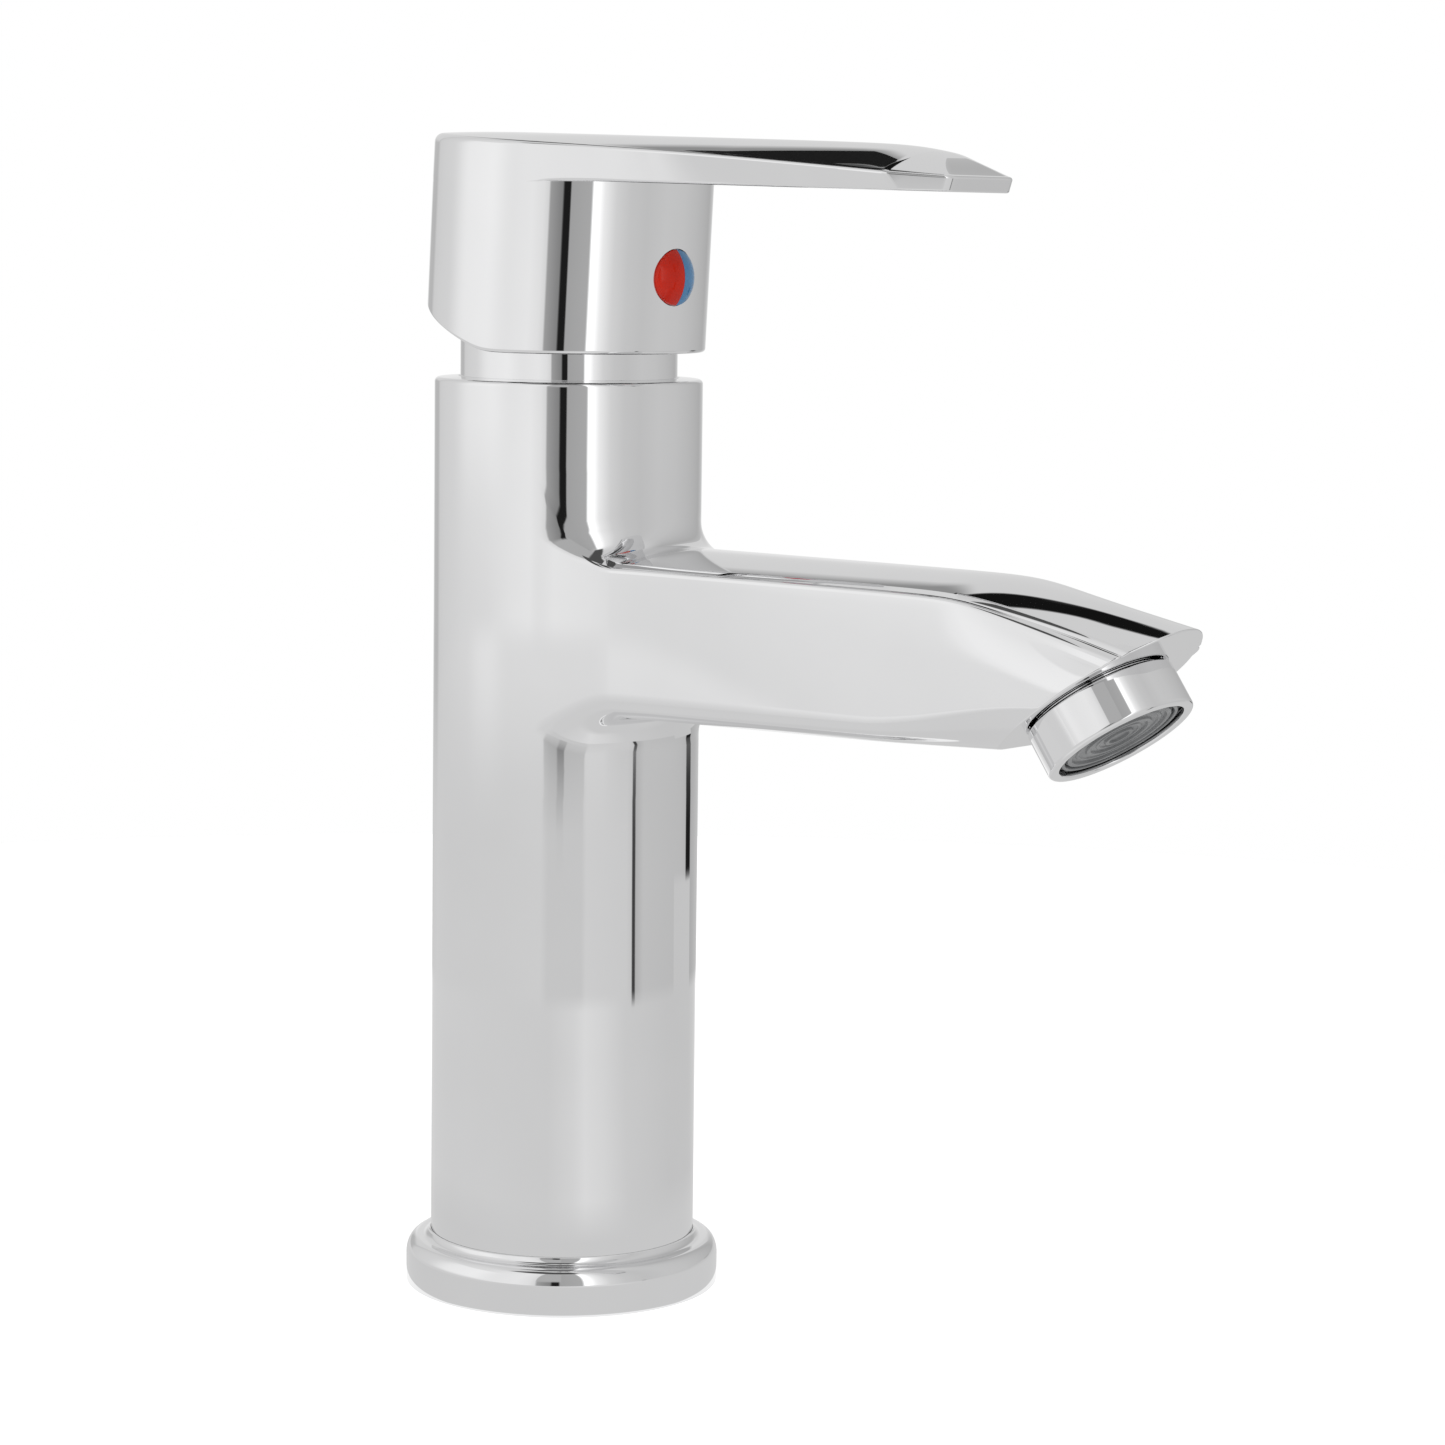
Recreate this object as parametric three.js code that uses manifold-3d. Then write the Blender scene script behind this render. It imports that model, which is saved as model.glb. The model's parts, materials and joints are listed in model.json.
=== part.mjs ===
// Single-lever bathroom basin mixer: a round column with a fixed spout, a tilting and turning
// lever, the ceramic-disc cartridge that the lever works, and an aerator on the spout's end.
// Units are millimetres. +Z is up, +X is the way the spout points, and the origin is the centre
// of the underside that stands on the basin.

import * as THREE from 'three';
import { mergeVertices } from 'three/addons/utils/BufferGeometryUtils.js';
import Module from 'manifold-3d';

const wasm = await Module();
wasm.setup();

// ---------------------------------------------------------------- driving dimensions

const GAP = 0.3; // space left between pieces that touch
const FINE = 48; // segments around the large round pieces
const MEDIUM = 32; // segments around the cartridge and aerator pieces
const SMALL = 16; // segments around pins, ports and screws
const DEGREE = Math.PI / 180;

// Column
const COLUMN_RADIUS = 22;
const COLUMN_TOP = 151.2;
const RIM_CHAMFER = 0.7;
const RIM_RISE = 0.3; // the rim's top slopes up towards the cartridge
const FOOT_RADIUS = 23.4;
const FOOT_HEIGHT = 3.5;
const FLOOR_THICKNESS = 14; // solid foot that holds the inlet sockets and the stud hole
const WATERWAY_RADIUS = 19;
const WATERWAY_TOP = 96;
const RIB_HALF_THICKNESS = 2; // wall between the hot and the cold waterway

// Base ring and gasket
const BASE_RING_RADIUS = 26.1;
const BASE_RING_HEIGHT = 7.8;
const BASE_RING_SHOULDER_DEPTH = 2;
const BASE_RING_SHOULDER_HEIGHT = 3;
const BASE_RING_LOWER_EDGE = 0.5;
const GASKET_INNER = 18.5;
const GASKET_OUTER = 21.1;
const GASKET_HEIGHT = 1.5;

// Sockets in the underside
const INLET_X = -3;
const INLET_Y = 9;
const INLET_RADIUS = 4.55; // M10 x 1 hose thread
const STUD_X = 11;
const STUD_RADIUS = 3.4; // M8 fixing stud thread
const STUD_DEPTH = 12;

// Spout
const SPOUT_HALF_WIDTH = 14.2;
const SPOUT_CROWN = 124.8;
const SPOUT_CROWN_END_X = 92; // where the crown starts to fall
const SPOUT_CROWN_FALL = 11 * DEGREE;
const SPOUT_EDGE = 122.3; // height of the long top edges
const SPOUT_EDGE_END_X = 90;
const SPOUT_EDGE_FALL = 14.3 * DEGREE;
const SPOUT_TIP_START = 86; // from here the arched top draws in from the sides
const SPOUT_TIP_END = 112;
const SPOUT_TIP_NARROWING = 2.2; // how far each top edge moves in by the tip
const SPOUT_NARROWING_HEIGHT = 8; // how far down the sides lean in with it
const SPOUT_TIP_ARCH = 10.2; // half-width of the arch at the tip
const SPOUT_BOTTOM = 98;
const SPOUT_BOTTOM_RISE = 0.018; // per millimetre of length
const SPOUT_BOTTOM_CORNER = 3;
const SPOUT_TIP_CORNER = 9;
const SPOUT_TOP_CORNER = 1.2;
const SPOUT_TOP_FILLET = 5;
const SPOUT_BOTTOM_FILLET = 5;
const SPOUT_ROOT_ANGLE = 60 * DEGREE; // where the flared sides meet the column
const CHANNEL_LOW = 102;
const CHANNEL_HIGH = 117.5;
const CHANNEL_HALF_WIDTH = 10.5;
const CHANNEL_END_X = 95;
const THROAT_LOW = 103;
const THROAT_HIGH = 115; // the narrow stretch between the two risers
const THROAT_HALF_WIDTH = 5.2;

// Aerator seat, the slanted face at the spout's end
const SEAT_X = 106.6;
const SEAT_Z = 107.3;
const SEAT_TILT = 35.4 * DEGREE;
const OUTLET_RADIUS = 8.6;
const THREAD_RADIUS = 10.9;
const THREAD_LENGTH = 4;
const AERATOR_RADIUS = 12;
const AERATOR_LENGTH = 7.6;

// Cartridge pocket and cartridge
const POCKET_RADIUS = 18.3;
const POCKET_FLOOR = 121;
const CARTRIDGE_RADIUS = 17.3;
const INLET_PORT = { x: 4.5, y: 6.5, radius: 2.6 };
const OUTLET_PORT = { x: -6.5, y: 0, radius: 3.4 };
const PEG = { x: -3, y: 13, radius: 1.8 };
const BASE_LOW = POCKET_FLOOR + GAP;
const BASE_HIGH = BASE_LOW + 5;
const DISC_SEAL_HEIGHT = 1;
const DISC_HEIGHT = 3.2;
const DISC_SEAL_LOW = BASE_HIGH + GAP;
const FIXED_DISC_LOW = DISC_SEAL_LOW + DISC_SEAL_HEIGHT + GAP;
const MOVING_DISC_LOW = FIXED_DISC_LOW + DISC_HEIGHT + GAP;
const CARRIER_LOW = MOVING_DISC_LOW + DISC_HEIGHT + GAP;
const CARRIER_HIGH = CARRIER_LOW + 7.5;
const CLOSED_DISC_X = -2.3; // the moving disc's centre with the tap shut
const MOVING_DISC_RADIUS = 12.3;
const CAVITY_RADIUS = 15;
const GUIDE_LOW = CARRIER_HIGH + 0.5;
const GUIDE_HIGH = GUIDE_LOW + 10.5;
const GUIDE_RADIUS = 10.2;
const GUIDE_FLANGE_RADIUS = 12.4;
const GUIDE_FLANGE_HEIGHT = 1.1;
const HOUSING_SHOULDER = 146.2;
const NECK_RADIUS = 12.6;
const NECK_TOP = 152.4;
const NUT_RADIUS = 17.9;
const NUT_FLANGE_TOP = 149.9;
const NUT_TOP = 152.9;
const NUT_FLATS = 28.2;
const COLLAR_RADIUS = 17.8;
const COLLAR_WALL = 0.95;
const COLLAR_PLATE_TOP = 155.4;
const COLLAR_TOP = 157.7; // the rim stands up inside the handle's skirt

// Stem
const PIVOT_Z = 150;
const PIN_RADIUS = 1.5;
const BALL_Z = PIVOT_Z - 10.2;
const BALL_RADIUS = 3.6;
const STEM_TOP = 178;
const STEM_SQUARE = 8;
const STEM_SQUARE_LOW = 156.5;

// Handle
const SKIRT_RADIUS = 22.9;
const SKIRT_BOTTOM = 155.7;
const SKIRT_CENTRE_X = -0.8; // at the skirt's bottom
const SKIRT_LEAN = 0.054; // how far the circles move forward per millimetre of height
const BACK_CUT = 21 * DEGREE; // the bottom edge rises behind, to let the lever tilt
const BACK_CUT_X = 1.4;
const BACK_CUT_BLEND = 2.2; // how gently the level edge turns into the rising one
const LEVER_UNDERSIDE = 183.4;
const LEVER_UNDERSIDE_FALL = 0.02;
const LEVER_HALF_WIDTH = 14; // at the top edges
const LEVER_LOW_HALF_WIDTH = 12.8; // at the underside
const LEVER_END_X = 83.4;
const LEVER_LOW_END_X = 82.9;
const LEVER_END_HALF_WIDTH = 7.84;
const LEVER_CORNER_SLOPE = 0.76; // sideways per millimetre back, along the end's corner faces
const LEVER_FLARE_ANGLE = 66 * DEGREE; // where the flared sides leave the skirt's circle
const LEVER_CREST_X = 72; // the crown bends down here
const HANDLE_WALL = 2.6;
const HANDLE_CEILING = 184.5;
const BOSS_RADIUS = 8.2;
const BOSS_LOW = 160;
const INDEX_Z = 168;
const INDEX_RADIUS = 4.5;
const INDEX_FLOOR_X = 20.4;
const INDEX_RIM_X = 22.9;
const INDEX_DOME_RISE = 1.9;
const SCREW_RADIUS = 2.5;

// ---------------------------------------------------------------- solid helpers

function toManifold(geometry) {
  const bare = geometry.clone();
  bare.deleteAttribute('normal');
  bare.deleteAttribute('uv');
  const merged = mergeVertices(bare, 1e-4);
  const index = merged.index.array;
  const triangles = [];
  for (let i = 0; i < index.length; i += 3) {
    const [a, b, c] = index.slice(i, i + 3);
    if (a !== b && b !== c && c !== a) triangles.push(a, b, c);
  }
  const mesh = new wasm.Mesh({
    numProp: 3,
    vertProperties: new Float32Array(merged.attributes.position.array),
    triVerts: new Uint32Array(triangles),
  });
  return new wasm.Manifold(mesh);
}

function toGeometry(manifold) {
  const mesh = manifold.getMesh();
  const geometry = new THREE.BufferGeometry();
  geometry.setAttribute('position', new THREE.BufferAttribute(mesh.vertProperties, 3));
  geometry.setIndex(new THREE.BufferAttribute(mesh.triVerts, 1));
  return geometry;
}

function cut(base, ...tools) {
  const solid = tools.reduce((rest, tool) => rest.subtract(toManifold(tool)), toManifold(base));
  return toGeometry(solid);
}

function join(first, ...others) {
  const solid = others.reduce((sum, other) => sum.add(toManifold(other)), toManifold(first));
  return toGeometry(solid);
}

function overlap(first, second) {
  return toGeometry(toManifold(first).intersect(toManifold(second)));
}

// A profile is a list of [radius, height] pairs that runs up the outside and down the inside.
function revolve(profile, segments) {
  const points = profile.map(([radius, height]) => new THREE.Vector2(radius, height));
  return new THREE.LatheGeometry(points, segments).rotateX(Math.PI / 2);
}

function disc(radius, low, high, segments) {
  return revolve([[0, low], [radius, low], [radius, high], [0, high]], segments);
}

function ring(inner, outer, low, high, segments) {
  return revolve([[inner, low], [outer, low], [outer, high], [inner, high], [inner, low]], segments);
}

function box(low, high) {
  const size = high.map((value, axis) => value - low[axis]);
  const centre = high.map((value, axis) => (value + low[axis]) / 2);
  return new THREE.BoxGeometry(...size).translate(...centre);
}

function rodAlongX(radius, from, to, height, segments = SMALL) {
  return disc(radius, from, to, segments).rotateY(Math.PI / 2).translate(0, 0, height);
}

function rodAlongY(radius, halfLength, height, segments = SMALL) {
  return disc(radius, -halfLength, halfLength, segments).rotateX(Math.PI / 2).translate(0, 0, height);
}

function hexPrism(acrossFlats, low, high) {
  return disc(acrossFlats / 2 / Math.cos(30 * DEGREE), low, high, 6);
}

// Joins rings of equally many points, listed anticlockwise as seen from the last ring. The
// ends are closed by fans, and an end ring that has shrunk to a line closes by itself.
function loft(rings) {
  const count = rings[0].length;
  const positions = rings.flat().flatMap((point) => point.toArray());
  const triangles = [];
  for (let level = 0; level < rings.length - 1; level += 1) {
    for (let i = 0; i < count; i += 1) {
      const a = level * count + i;
      const b = level * count + ((i + 1) % count);
      triangles.push(a, b, b + count, a, b + count, a + count);
    }
  }
  const addFan = (points, start, flip) => {
    const centre = points.reduce((sum, point) => sum.add(point), new THREE.Vector3());
    centre.divideScalar(count);
    const hub = positions.length / 3;
    positions.push(...centre.toArray());
    for (let i = 0; i < count; i += 1) {
      const pair = [start + i, start + ((i + 1) % count)];
      if (flip) pair.reverse();
      triangles.push(hub, ...pair);
    }
  };
  addFan(rings[0], 0, true);
  const last = rings[rings.length - 1];
  if (last.some((point) => Math.abs(point.y) > GAP)) addFan(last, (rings.length - 1) * count, false);
  const geometry = new THREE.BufferGeometry();
  geometry.setAttribute('position', new THREE.Float32BufferAttribute(positions, 3));
  geometry.setIndex(triangles);
  return geometry;
}

function lerp(from, to, amount) {
  return from + (to - from) * amount;
}

// ---------------------------------------------------------------- spout

const seat = new THREE.Group();
seat.position.set(SEAT_X, 0, SEAT_Z);
seat.rotation.y = -SEAT_TILT;
seat.updateMatrixWorld();

// Along the slanted seat plane, x as a function of height.
function seatPlaneX(z) {
  return SEAT_X + (z - SEAT_Z) / Math.tan(SEAT_TILT);
}

// A quarter-round fillet's rise at a distance from the column's surface.
function filletRise(distance, radius) {
  if (distance >= radius) return 0;
  const inset = radius - Math.max(distance, 0);
  return radius - Math.sqrt(radius * radius - inset * inset);
}

// Half-width in plan: straight, then flared by an arc that meets the column tangentially.
function spoutHalfWidth(x) {
  const reach = COLUMN_RADIUS * Math.sin(SPOUT_ROOT_ANGLE) - SPOUT_HALF_WIDTH;
  const flareRadius = reach / (1 - Math.sin(SPOUT_ROOT_ANGLE));
  const flareX = (COLUMN_RADIUS + flareRadius) * Math.cos(SPOUT_ROOT_ANGLE);
  const rootX = COLUMN_RADIUS * Math.cos(SPOUT_ROOT_ANGLE);
  if (x >= flareX) return SPOUT_HALF_WIDTH;
  const back = flareX - Math.max(x, rootX);
  return SPOUT_HALF_WIDTH + flareRadius - Math.sqrt(flareRadius ** 2 - back ** 2);
}

function falling(level, endX, angle, x) {
  return level - Math.max(x - endX, 0) * Math.tan(angle);
}

// 0 along the straight spout, rising smoothly to 1 at the tip.
function tipShare(x) {
  return THREE.MathUtils.smoothstep(x, SPOUT_TIP_START, SPOUT_TIP_END);
}

// One side of the section at x, from the bottom's middle to the crown's middle, as [y, z].
function spoutHalfSection(x) {
  const tip = tipShare(x);
  const half = spoutHalfWidth(x);
  const topHalf = half - SPOUT_TIP_NARROWING * tip;
  const crown = falling(SPOUT_CROWN, SPOUT_CROWN_END_X, SPOUT_CROWN_FALL, x);
  const edge = falling(SPOUT_EDGE, SPOUT_EDGE_END_X, SPOUT_EDGE_FALL, x);
  const bottom = SPOUT_BOTTOM + SPOUT_BOTTOM_RISE * (x - COLUMN_RADIUS);
  const nearTip = THREE.MathUtils.clamp((x - 60) / 36, 0, 1);
  const corner = lerp(SPOUT_BOTTOM_CORNER, SPOUT_TIP_CORNER, nearTip);
  const points = [[0, bottom], [(half - corner) / 2, bottom]];
  for (let step = 0; step <= 5; step += 1) {
    const angle = (step / 5) * 90 * DEGREE;
    const y = half - corner + corner * Math.sin(angle);
    points.push([y, bottom + corner - corner * Math.cos(angle)]);
  }
  const leanStart = Math.max(edge - SPOUT_NARROWING_HEIGHT, bottom + corner + GAP);
  const sideTop = edge - SPOUT_TOP_CORNER;
  for (const share of [0, 0.55]) {
    points.push([lerp(half, topHalf, share ** 2), lerp(leanStart, sideTop, share)]);
  }
  for (let step = 0; step <= 2; step += 1) {
    const angle = (step / 2) * 80 * DEGREE;
    const y = topHalf - SPOUT_TOP_CORNER + SPOUT_TOP_CORNER * Math.cos(angle);
    points.push([y, sideTop + SPOUT_TOP_CORNER * Math.sin(angle)]);
  }
  const archHalf = lerp(half, SPOUT_TIP_ARCH, tip);
  for (const share of [0.8, 0.6, 0.4, 0.2, 0]) {
    const across = Math.min((topHalf * share) / archHalf, 1);
    points.push([topHalf * share, crown - (crown - edge) * across ** 2]);
  }
  const middle = (bottom + edge) / 2;
  return points.map(([y, z]) => {
    const distance = Math.hypot(x, y) - COLUMN_RADIUS;
    const rise = filletRise(distance, SPOUT_TOP_FILLET);
    const drop = filletRise(distance, SPOUT_BOTTOM_FILLET);
    return [y, z > middle ? z + rise : z - drop];
  });
}

// The ring whose points lie the given share of the way from x = start to the seat plane.
function spoutTipRing(start, share) {
  const count = spoutHalfSection(start).length;
  const half = [];
  for (let i = 0; i < count; i += 1) {
    let x = start;
    for (let pass = 0; pass < 12; pass += 1) {
      const z = spoutHalfSection(x)[i][1];
      x = lerp(start, seatPlaneX(z), share);
    }
    const [y, z] = spoutHalfSection(x)[i];
    half.push(new THREE.Vector3(x, y, z));
  }
  return half;
}

function mirrorHalf(half) {
  const other = half.slice(1, -1).reverse();
  return [...half, ...other.map((point) => new THREE.Vector3(point.x, -point.y, point.z))];
}

function spoutSolid() {
  const straight = [10.5, 13, 16, 18.5, 20.5, 22, 23, 24.5, 26.5, 29, 60, SPOUT_TIP_START];
  const rings = straight.map((x) => spoutHalfSection(x).map(([y, z]) => new THREE.Vector3(x, y, z)));
  for (const share of [0.2, 0.4, 0.6, 0.8, 1]) rings.push(spoutTipRing(SPOUT_TIP_START, share));
  return loft(rings.map(mirrorHalf));
}

function spoutOutlet() {
  const depth = 9;
  return disc(OUTLET_RADIUS, -THREAD_LENGTH - 1, depth, MEDIUM).applyMatrix4(seat.matrix);
}

function spoutThread() {
  return disc(THREAD_RADIUS, -THREAD_LENGTH, 2, MEDIUM).applyMatrix4(seat.matrix);
}

// ---------------------------------------------------------------- tap body

function columnSolid() {
  return revolve([
    [0, 0],
    [FOOT_RADIUS, 0],
    [FOOT_RADIUS, FOOT_HEIGHT],
    [COLUMN_RADIUS, FOOT_HEIGHT],
    [COLUMN_RADIUS, COLUMN_TOP - RIM_CHAMFER],
    [COLUMN_RADIUS - RIM_CHAMFER, COLUMN_TOP],
    [POCKET_RADIUS, COLUMN_TOP + RIM_RISE],
    [0, COLUMN_TOP + RIM_RISE],
  ], FINE);
}

// A D-shaped passage on each side of the rib, for hot water (+Y) and cold water (-Y).
function waterways() {
  const core = disc(WATERWAY_RADIUS, FLOOR_THICKNESS, WATERWAY_TOP, MEDIUM);
  const reach = WATERWAY_RADIUS + 1;
  const rib = box([-reach, -RIB_HALF_THICKNESS, 0], [reach, RIB_HALF_THICKNESS, WATERWAY_TOP + 1]);
  return cut(core, rib);
}

// The passage on one side: hose socket, riser, and a tunnel to the port under the cartridge.
function inletPassage(side) {
  const riserY = 10.5 * side;
  const tunnelLow = 116.8;
  const tunnelHigh = 119;
  const tunnelYs = [INLET_PORT.y * side, riserY].sort((a, b) => a - b);
  const socket = disc(INLET_RADIUS, -1, FLOOR_THICKNESS + 1, SMALL).translate(INLET_X, INLET_Y * side, 0);
  const riser = disc(3.4, WATERWAY_TOP - 1, tunnelHigh, SMALL).translate(INLET_PORT.x, riserY, 0);
  const tunnel = box(
    [INLET_PORT.x - INLET_PORT.radius, tunnelYs[0], tunnelLow],
    [INLET_PORT.x + INLET_PORT.radius, tunnelYs[1], tunnelHigh],
  );
  const port = disc(INLET_PORT.radius, tunnelLow, POCKET_FLOOR + 1, SMALL);
  port.translate(INLET_PORT.x, INLET_PORT.y * side, 0);
  return join(socket, riser, tunnel, port);
}

// The mixed water's way: down from the cartridge, between the risers and along the spout.
function outletPassage() {
  const drop = disc(OUTLET_PORT.radius, THROAT_LOW + 1, POCKET_FLOOR + 1, SMALL);
  drop.translate(OUTLET_PORT.x, OUTLET_PORT.y, 0);
  const throat = box([-10.5, -THROAT_HALF_WIDTH, THROAT_LOW], [21, THROAT_HALF_WIDTH, THROAT_HIGH]);
  const channel = box(
    [20, -CHANNEL_HALF_WIDTH, CHANNEL_LOW],
    [CHANNEL_END_X, CHANNEL_HALF_WIDTH, CHANNEL_HIGH],
  );
  return join(throat, drop, channel, spoutOutlet());
}

function pegHole(side) {
  const radius = PEG.radius + GAP;
  return disc(radius, POCKET_FLOOR - 3, POCKET_FLOOR + 1, SMALL).translate(PEG.x, PEG.y * side, 0);
}

function faucetBody() {
  const pocket = disc(POCKET_RADIUS, POCKET_FLOOR, COLUMN_TOP + 1, FINE);
  const stud = disc(STUD_RADIUS, -1, STUD_DEPTH, SMALL).translate(STUD_X, 0, 0);
  const groove = ring(GASKET_INNER - GAP, GASKET_OUTER + GAP, -1, GASKET_HEIGHT + GAP, FINE);
  return cut(
    join(columnSolid(), spoutSolid(), spoutThread()),
    pocket,
    waterways(),
    inletPassage(1),
    inletPassage(-1),
    outletPassage(),
    pegHole(1),
    pegHole(-1),
    stud,
    groove,
  );
}

function baseRing() {
  const inner = COLUMN_RADIUS + GAP;
  const shoulder = [];
  for (let step = 0; step <= 4; step += 1) {
    const angle = (step / 4) * 90 * DEGREE;
    shoulder.push([
      BASE_RING_RADIUS - BASE_RING_SHOULDER_DEPTH * (1 - Math.cos(angle)),
      BASE_RING_HEIGHT - BASE_RING_SHOULDER_HEIGHT * (1 - Math.sin(angle)),
    ]);
  }
  return revolve([
    [FOOT_RADIUS + GAP, 0],
    [BASE_RING_RADIUS - BASE_RING_LOWER_EDGE, 0],
    [BASE_RING_RADIUS, BASE_RING_LOWER_EDGE],
    ...shoulder,
    [inner, BASE_RING_HEIGHT],
    [inner, FOOT_HEIGHT + GAP],
    [FOOT_RADIUS + GAP, FOOT_HEIGHT + GAP],
    [FOOT_RADIUS + GAP, 0],
  ], FINE);
}

// ---------------------------------------------------------------- cartridge

function atPorts(makeTool) {
  const ports = [
    { ...INLET_PORT },
    { ...INLET_PORT, y: -INLET_PORT.y },
    { ...OUTLET_PORT },
  ];
  return ports.map((port) => makeTool(port.radius).translate(port.x, port.y, 0));
}

function cartridgeBase() {
  const plate = disc(CARTRIDGE_RADIUS, BASE_LOW, BASE_HIGH, MEDIUM);
  const pegs = [1, -1].map((side) => (
    disc(PEG.radius, POCKET_FLOOR - 2.6, BASE_LOW + 1, SMALL).translate(PEG.x, PEG.y * side, 0)
  ));
  const holes = atPorts((radius) => disc(radius, BASE_LOW - 1, BASE_HIGH + 1, SMALL));
  const recesses = atPorts((radius) => disc(radius + 1.8, BASE_LOW - 1, BASE_LOW + 1.8, SMALL));
  return cut(join(plate, ...pegs), ...holes, ...recesses);
}

function portSeal(radius) {
  return ring(radius + 0.2, radius + 1.4, 0, 1.5, SMALL);
}

function discSeal() {
  const high = DISC_SEAL_LOW + DISC_SEAL_HEIGHT;
  const hub = disc(6, DISC_SEAL_LOW, high, SMALL);
  const eyes = atPorts((radius) => disc(radius + 1.6, DISC_SEAL_LOW, high, SMALL));
  const holes = atPorts((radius) => disc(radius, DISC_SEAL_LOW - 1, high + 1, SMALL));
  return cut(join(hub, ...eyes), ...holes);
}

function fixedDisc() {
  const high = FIXED_DISC_LOW + DISC_HEIGHT;
  const plate = disc(CAVITY_RADIUS - 0.4, FIXED_DISC_LOW, high, MEDIUM);
  return cut(plate, ...atPorts((radius) => disc(radius, FIXED_DISC_LOW - 1, high + 1, SMALL)));
}

function movingDisc() {
  const plate = disc(MOVING_DISC_RADIUS, MOVING_DISC_LOW, MOVING_DISC_LOW + DISC_HEIGHT, MEDIUM);
  const mixingRecess = disc(7.4, MOVING_DISC_LOW - 1, MOVING_DISC_LOW + 1.8, MEDIUM).translate(-3.2, 0, 0);
  return cut(plate, mixingRecess).translate(CLOSED_DISC_X, 0, 0);
}

function discCarrier() {
  const plate = disc(MOVING_DISC_RADIUS - 0.6, CARRIER_LOW, CARRIER_HIGH, MEDIUM).translate(CLOSED_DISC_X, 0, 0);
  const socketRadius = BALL_RADIUS + 0.4;
  const socket = revolve([
    [0, BALL_Z - BALL_RADIUS - GAP],
    [socketRadius, BALL_Z - BALL_RADIUS - GAP],
    [socketRadius, BALL_Z + 1.4],
    [socketRadius + 1, CARRIER_HIGH + 0.1],
    [0, CARRIER_HIGH + 0.1],
  ], SMALL);
  return cut(plate, socket);
}

function cartridgeHousing() {
  const counterbore = GUIDE_FLANGE_RADIUS + 0.4;
  const counterboreTop = GUIDE_LOW + GUIDE_FLANGE_HEIGHT + GAP;
  const low = BASE_HIGH + GAP;
  const shaftBore = GUIDE_RADIUS + 0.4;
  return revolve([
    [CAVITY_RADIUS, low],
    [CARTRIDGE_RADIUS, low],
    [CARTRIDGE_RADIUS, HOUSING_SHOULDER],
    [NECK_RADIUS, HOUSING_SHOULDER],
    [NECK_RADIUS, NECK_TOP],
    [shaftBore, NECK_TOP],
    [shaftBore, counterboreTop],
    [counterbore, counterboreTop],
    [counterbore, GUIDE_LOW - GAP],
    [CAVITY_RADIUS, GUIDE_LOW - GAP],
    [CAVITY_RADIUS, low],
  ], MEDIUM);
}

function stemGuide() {
  const shaft = revolve([
    [0, GUIDE_LOW],
    [GUIDE_FLANGE_RADIUS, GUIDE_LOW],
    [GUIDE_FLANGE_RADIUS, GUIDE_LOW + GUIDE_FLANGE_HEIGHT],
    [GUIDE_RADIUS, GUIDE_LOW + GUIDE_FLANGE_HEIGHT],
    [GUIDE_RADIUS, GUIDE_HIGH],
    [0, GUIDE_HIGH],
  ], MEDIUM);
  const halfSlot = STEM_SQUARE / 2 + 0.4;
  const slot = box([-6, -halfSlot, GUIDE_LOW - 1], [8, halfSlot, GUIDE_HIGH + 1]);
  return cut(shaft, slot, rodAlongY(PIN_RADIUS + GAP, GUIDE_RADIUS + 1, PIVOT_Z));
}

function cartridgeNut() {
  const flange = disc(NUT_RADIUS, HOUSING_SHOULDER + GAP, NUT_FLANGE_TOP, FINE);
  const hexagon = hexPrism(NUT_FLATS, HOUSING_SHOULDER + 1, NUT_TOP);
  const bore = disc(NECK_RADIUS + 0.35, HOUSING_SHOULDER - 1, NUT_TOP + 1, MEDIUM);
  return cut(join(flange, hexagon), bore);
}

function collar() {
  const opening = NECK_RADIUS + 0.7;
  const inner = COLLAR_RADIUS - COLLAR_WALL;
  const low = NUT_FLANGE_TOP + GAP;
  return revolve([
    [inner, low],
    [COLLAR_RADIUS, low],
    [COLLAR_RADIUS, COLLAR_TOP - 0.3],
    [COLLAR_RADIUS - 0.3, COLLAR_TOP],
    [inner, COLLAR_TOP],
    [inner, COLLAR_PLATE_TOP],
    [opening, COLLAR_PLATE_TOP],
    [opening, NUT_TOP + GAP],
    [inner, NUT_TOP + GAP],
    [inner, low],
  ], FINE);
}

function cartridgeStem() {
  const halfSquare = STEM_SQUARE / 2;
  const square = box([-halfSquare, -halfSquare, STEM_SQUARE_LOW], [halfSquare, halfSquare, STEM_TOP]);
  const blade = box([-3, -halfSquare, 144], [3, halfSquare, STEM_SQUARE_LOW + 1]);
  const neck = disc(2.9, BALL_Z, 145, SMALL);
  const ball = new THREE.SphereGeometry(BALL_RADIUS, SMALL, 12).rotateX(Math.PI / 2).translate(0, 0, BALL_Z);
  return cut(join(square, blade, neck, ball), rodAlongY(PIN_RADIUS + GAP, halfSquare + 1, PIVOT_Z));
}

// ---------------------------------------------------------------- handle

function skirtCentreX(z) {
  return SKIRT_CENTRE_X + SKIRT_LEAN * (z - SKIRT_BOTTOM);
}

// Height of the skirt's bottom edge in the direction whose cosine is given: level in front,
// on a rising plane behind.
function skirtBottomZ(cosine) {
  const behind = BACK_CUT_X - SKIRT_CENTRE_X - SKIRT_RADIUS * cosine;
  const slope = Math.tan(BACK_CUT);
  const blended = (behind + Math.hypot(behind, BACK_CUT_BLEND)) / 2;
  return SKIRT_BOTTOM + (slope * blended) / (1 + slope * SKIRT_LEAN);
}

function leverCrownZ(x) {
  return 190.8 - 0.0243 * (x - 6) - Math.max(x - LEVER_CREST_X, 0) * 0.225;
}

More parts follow.
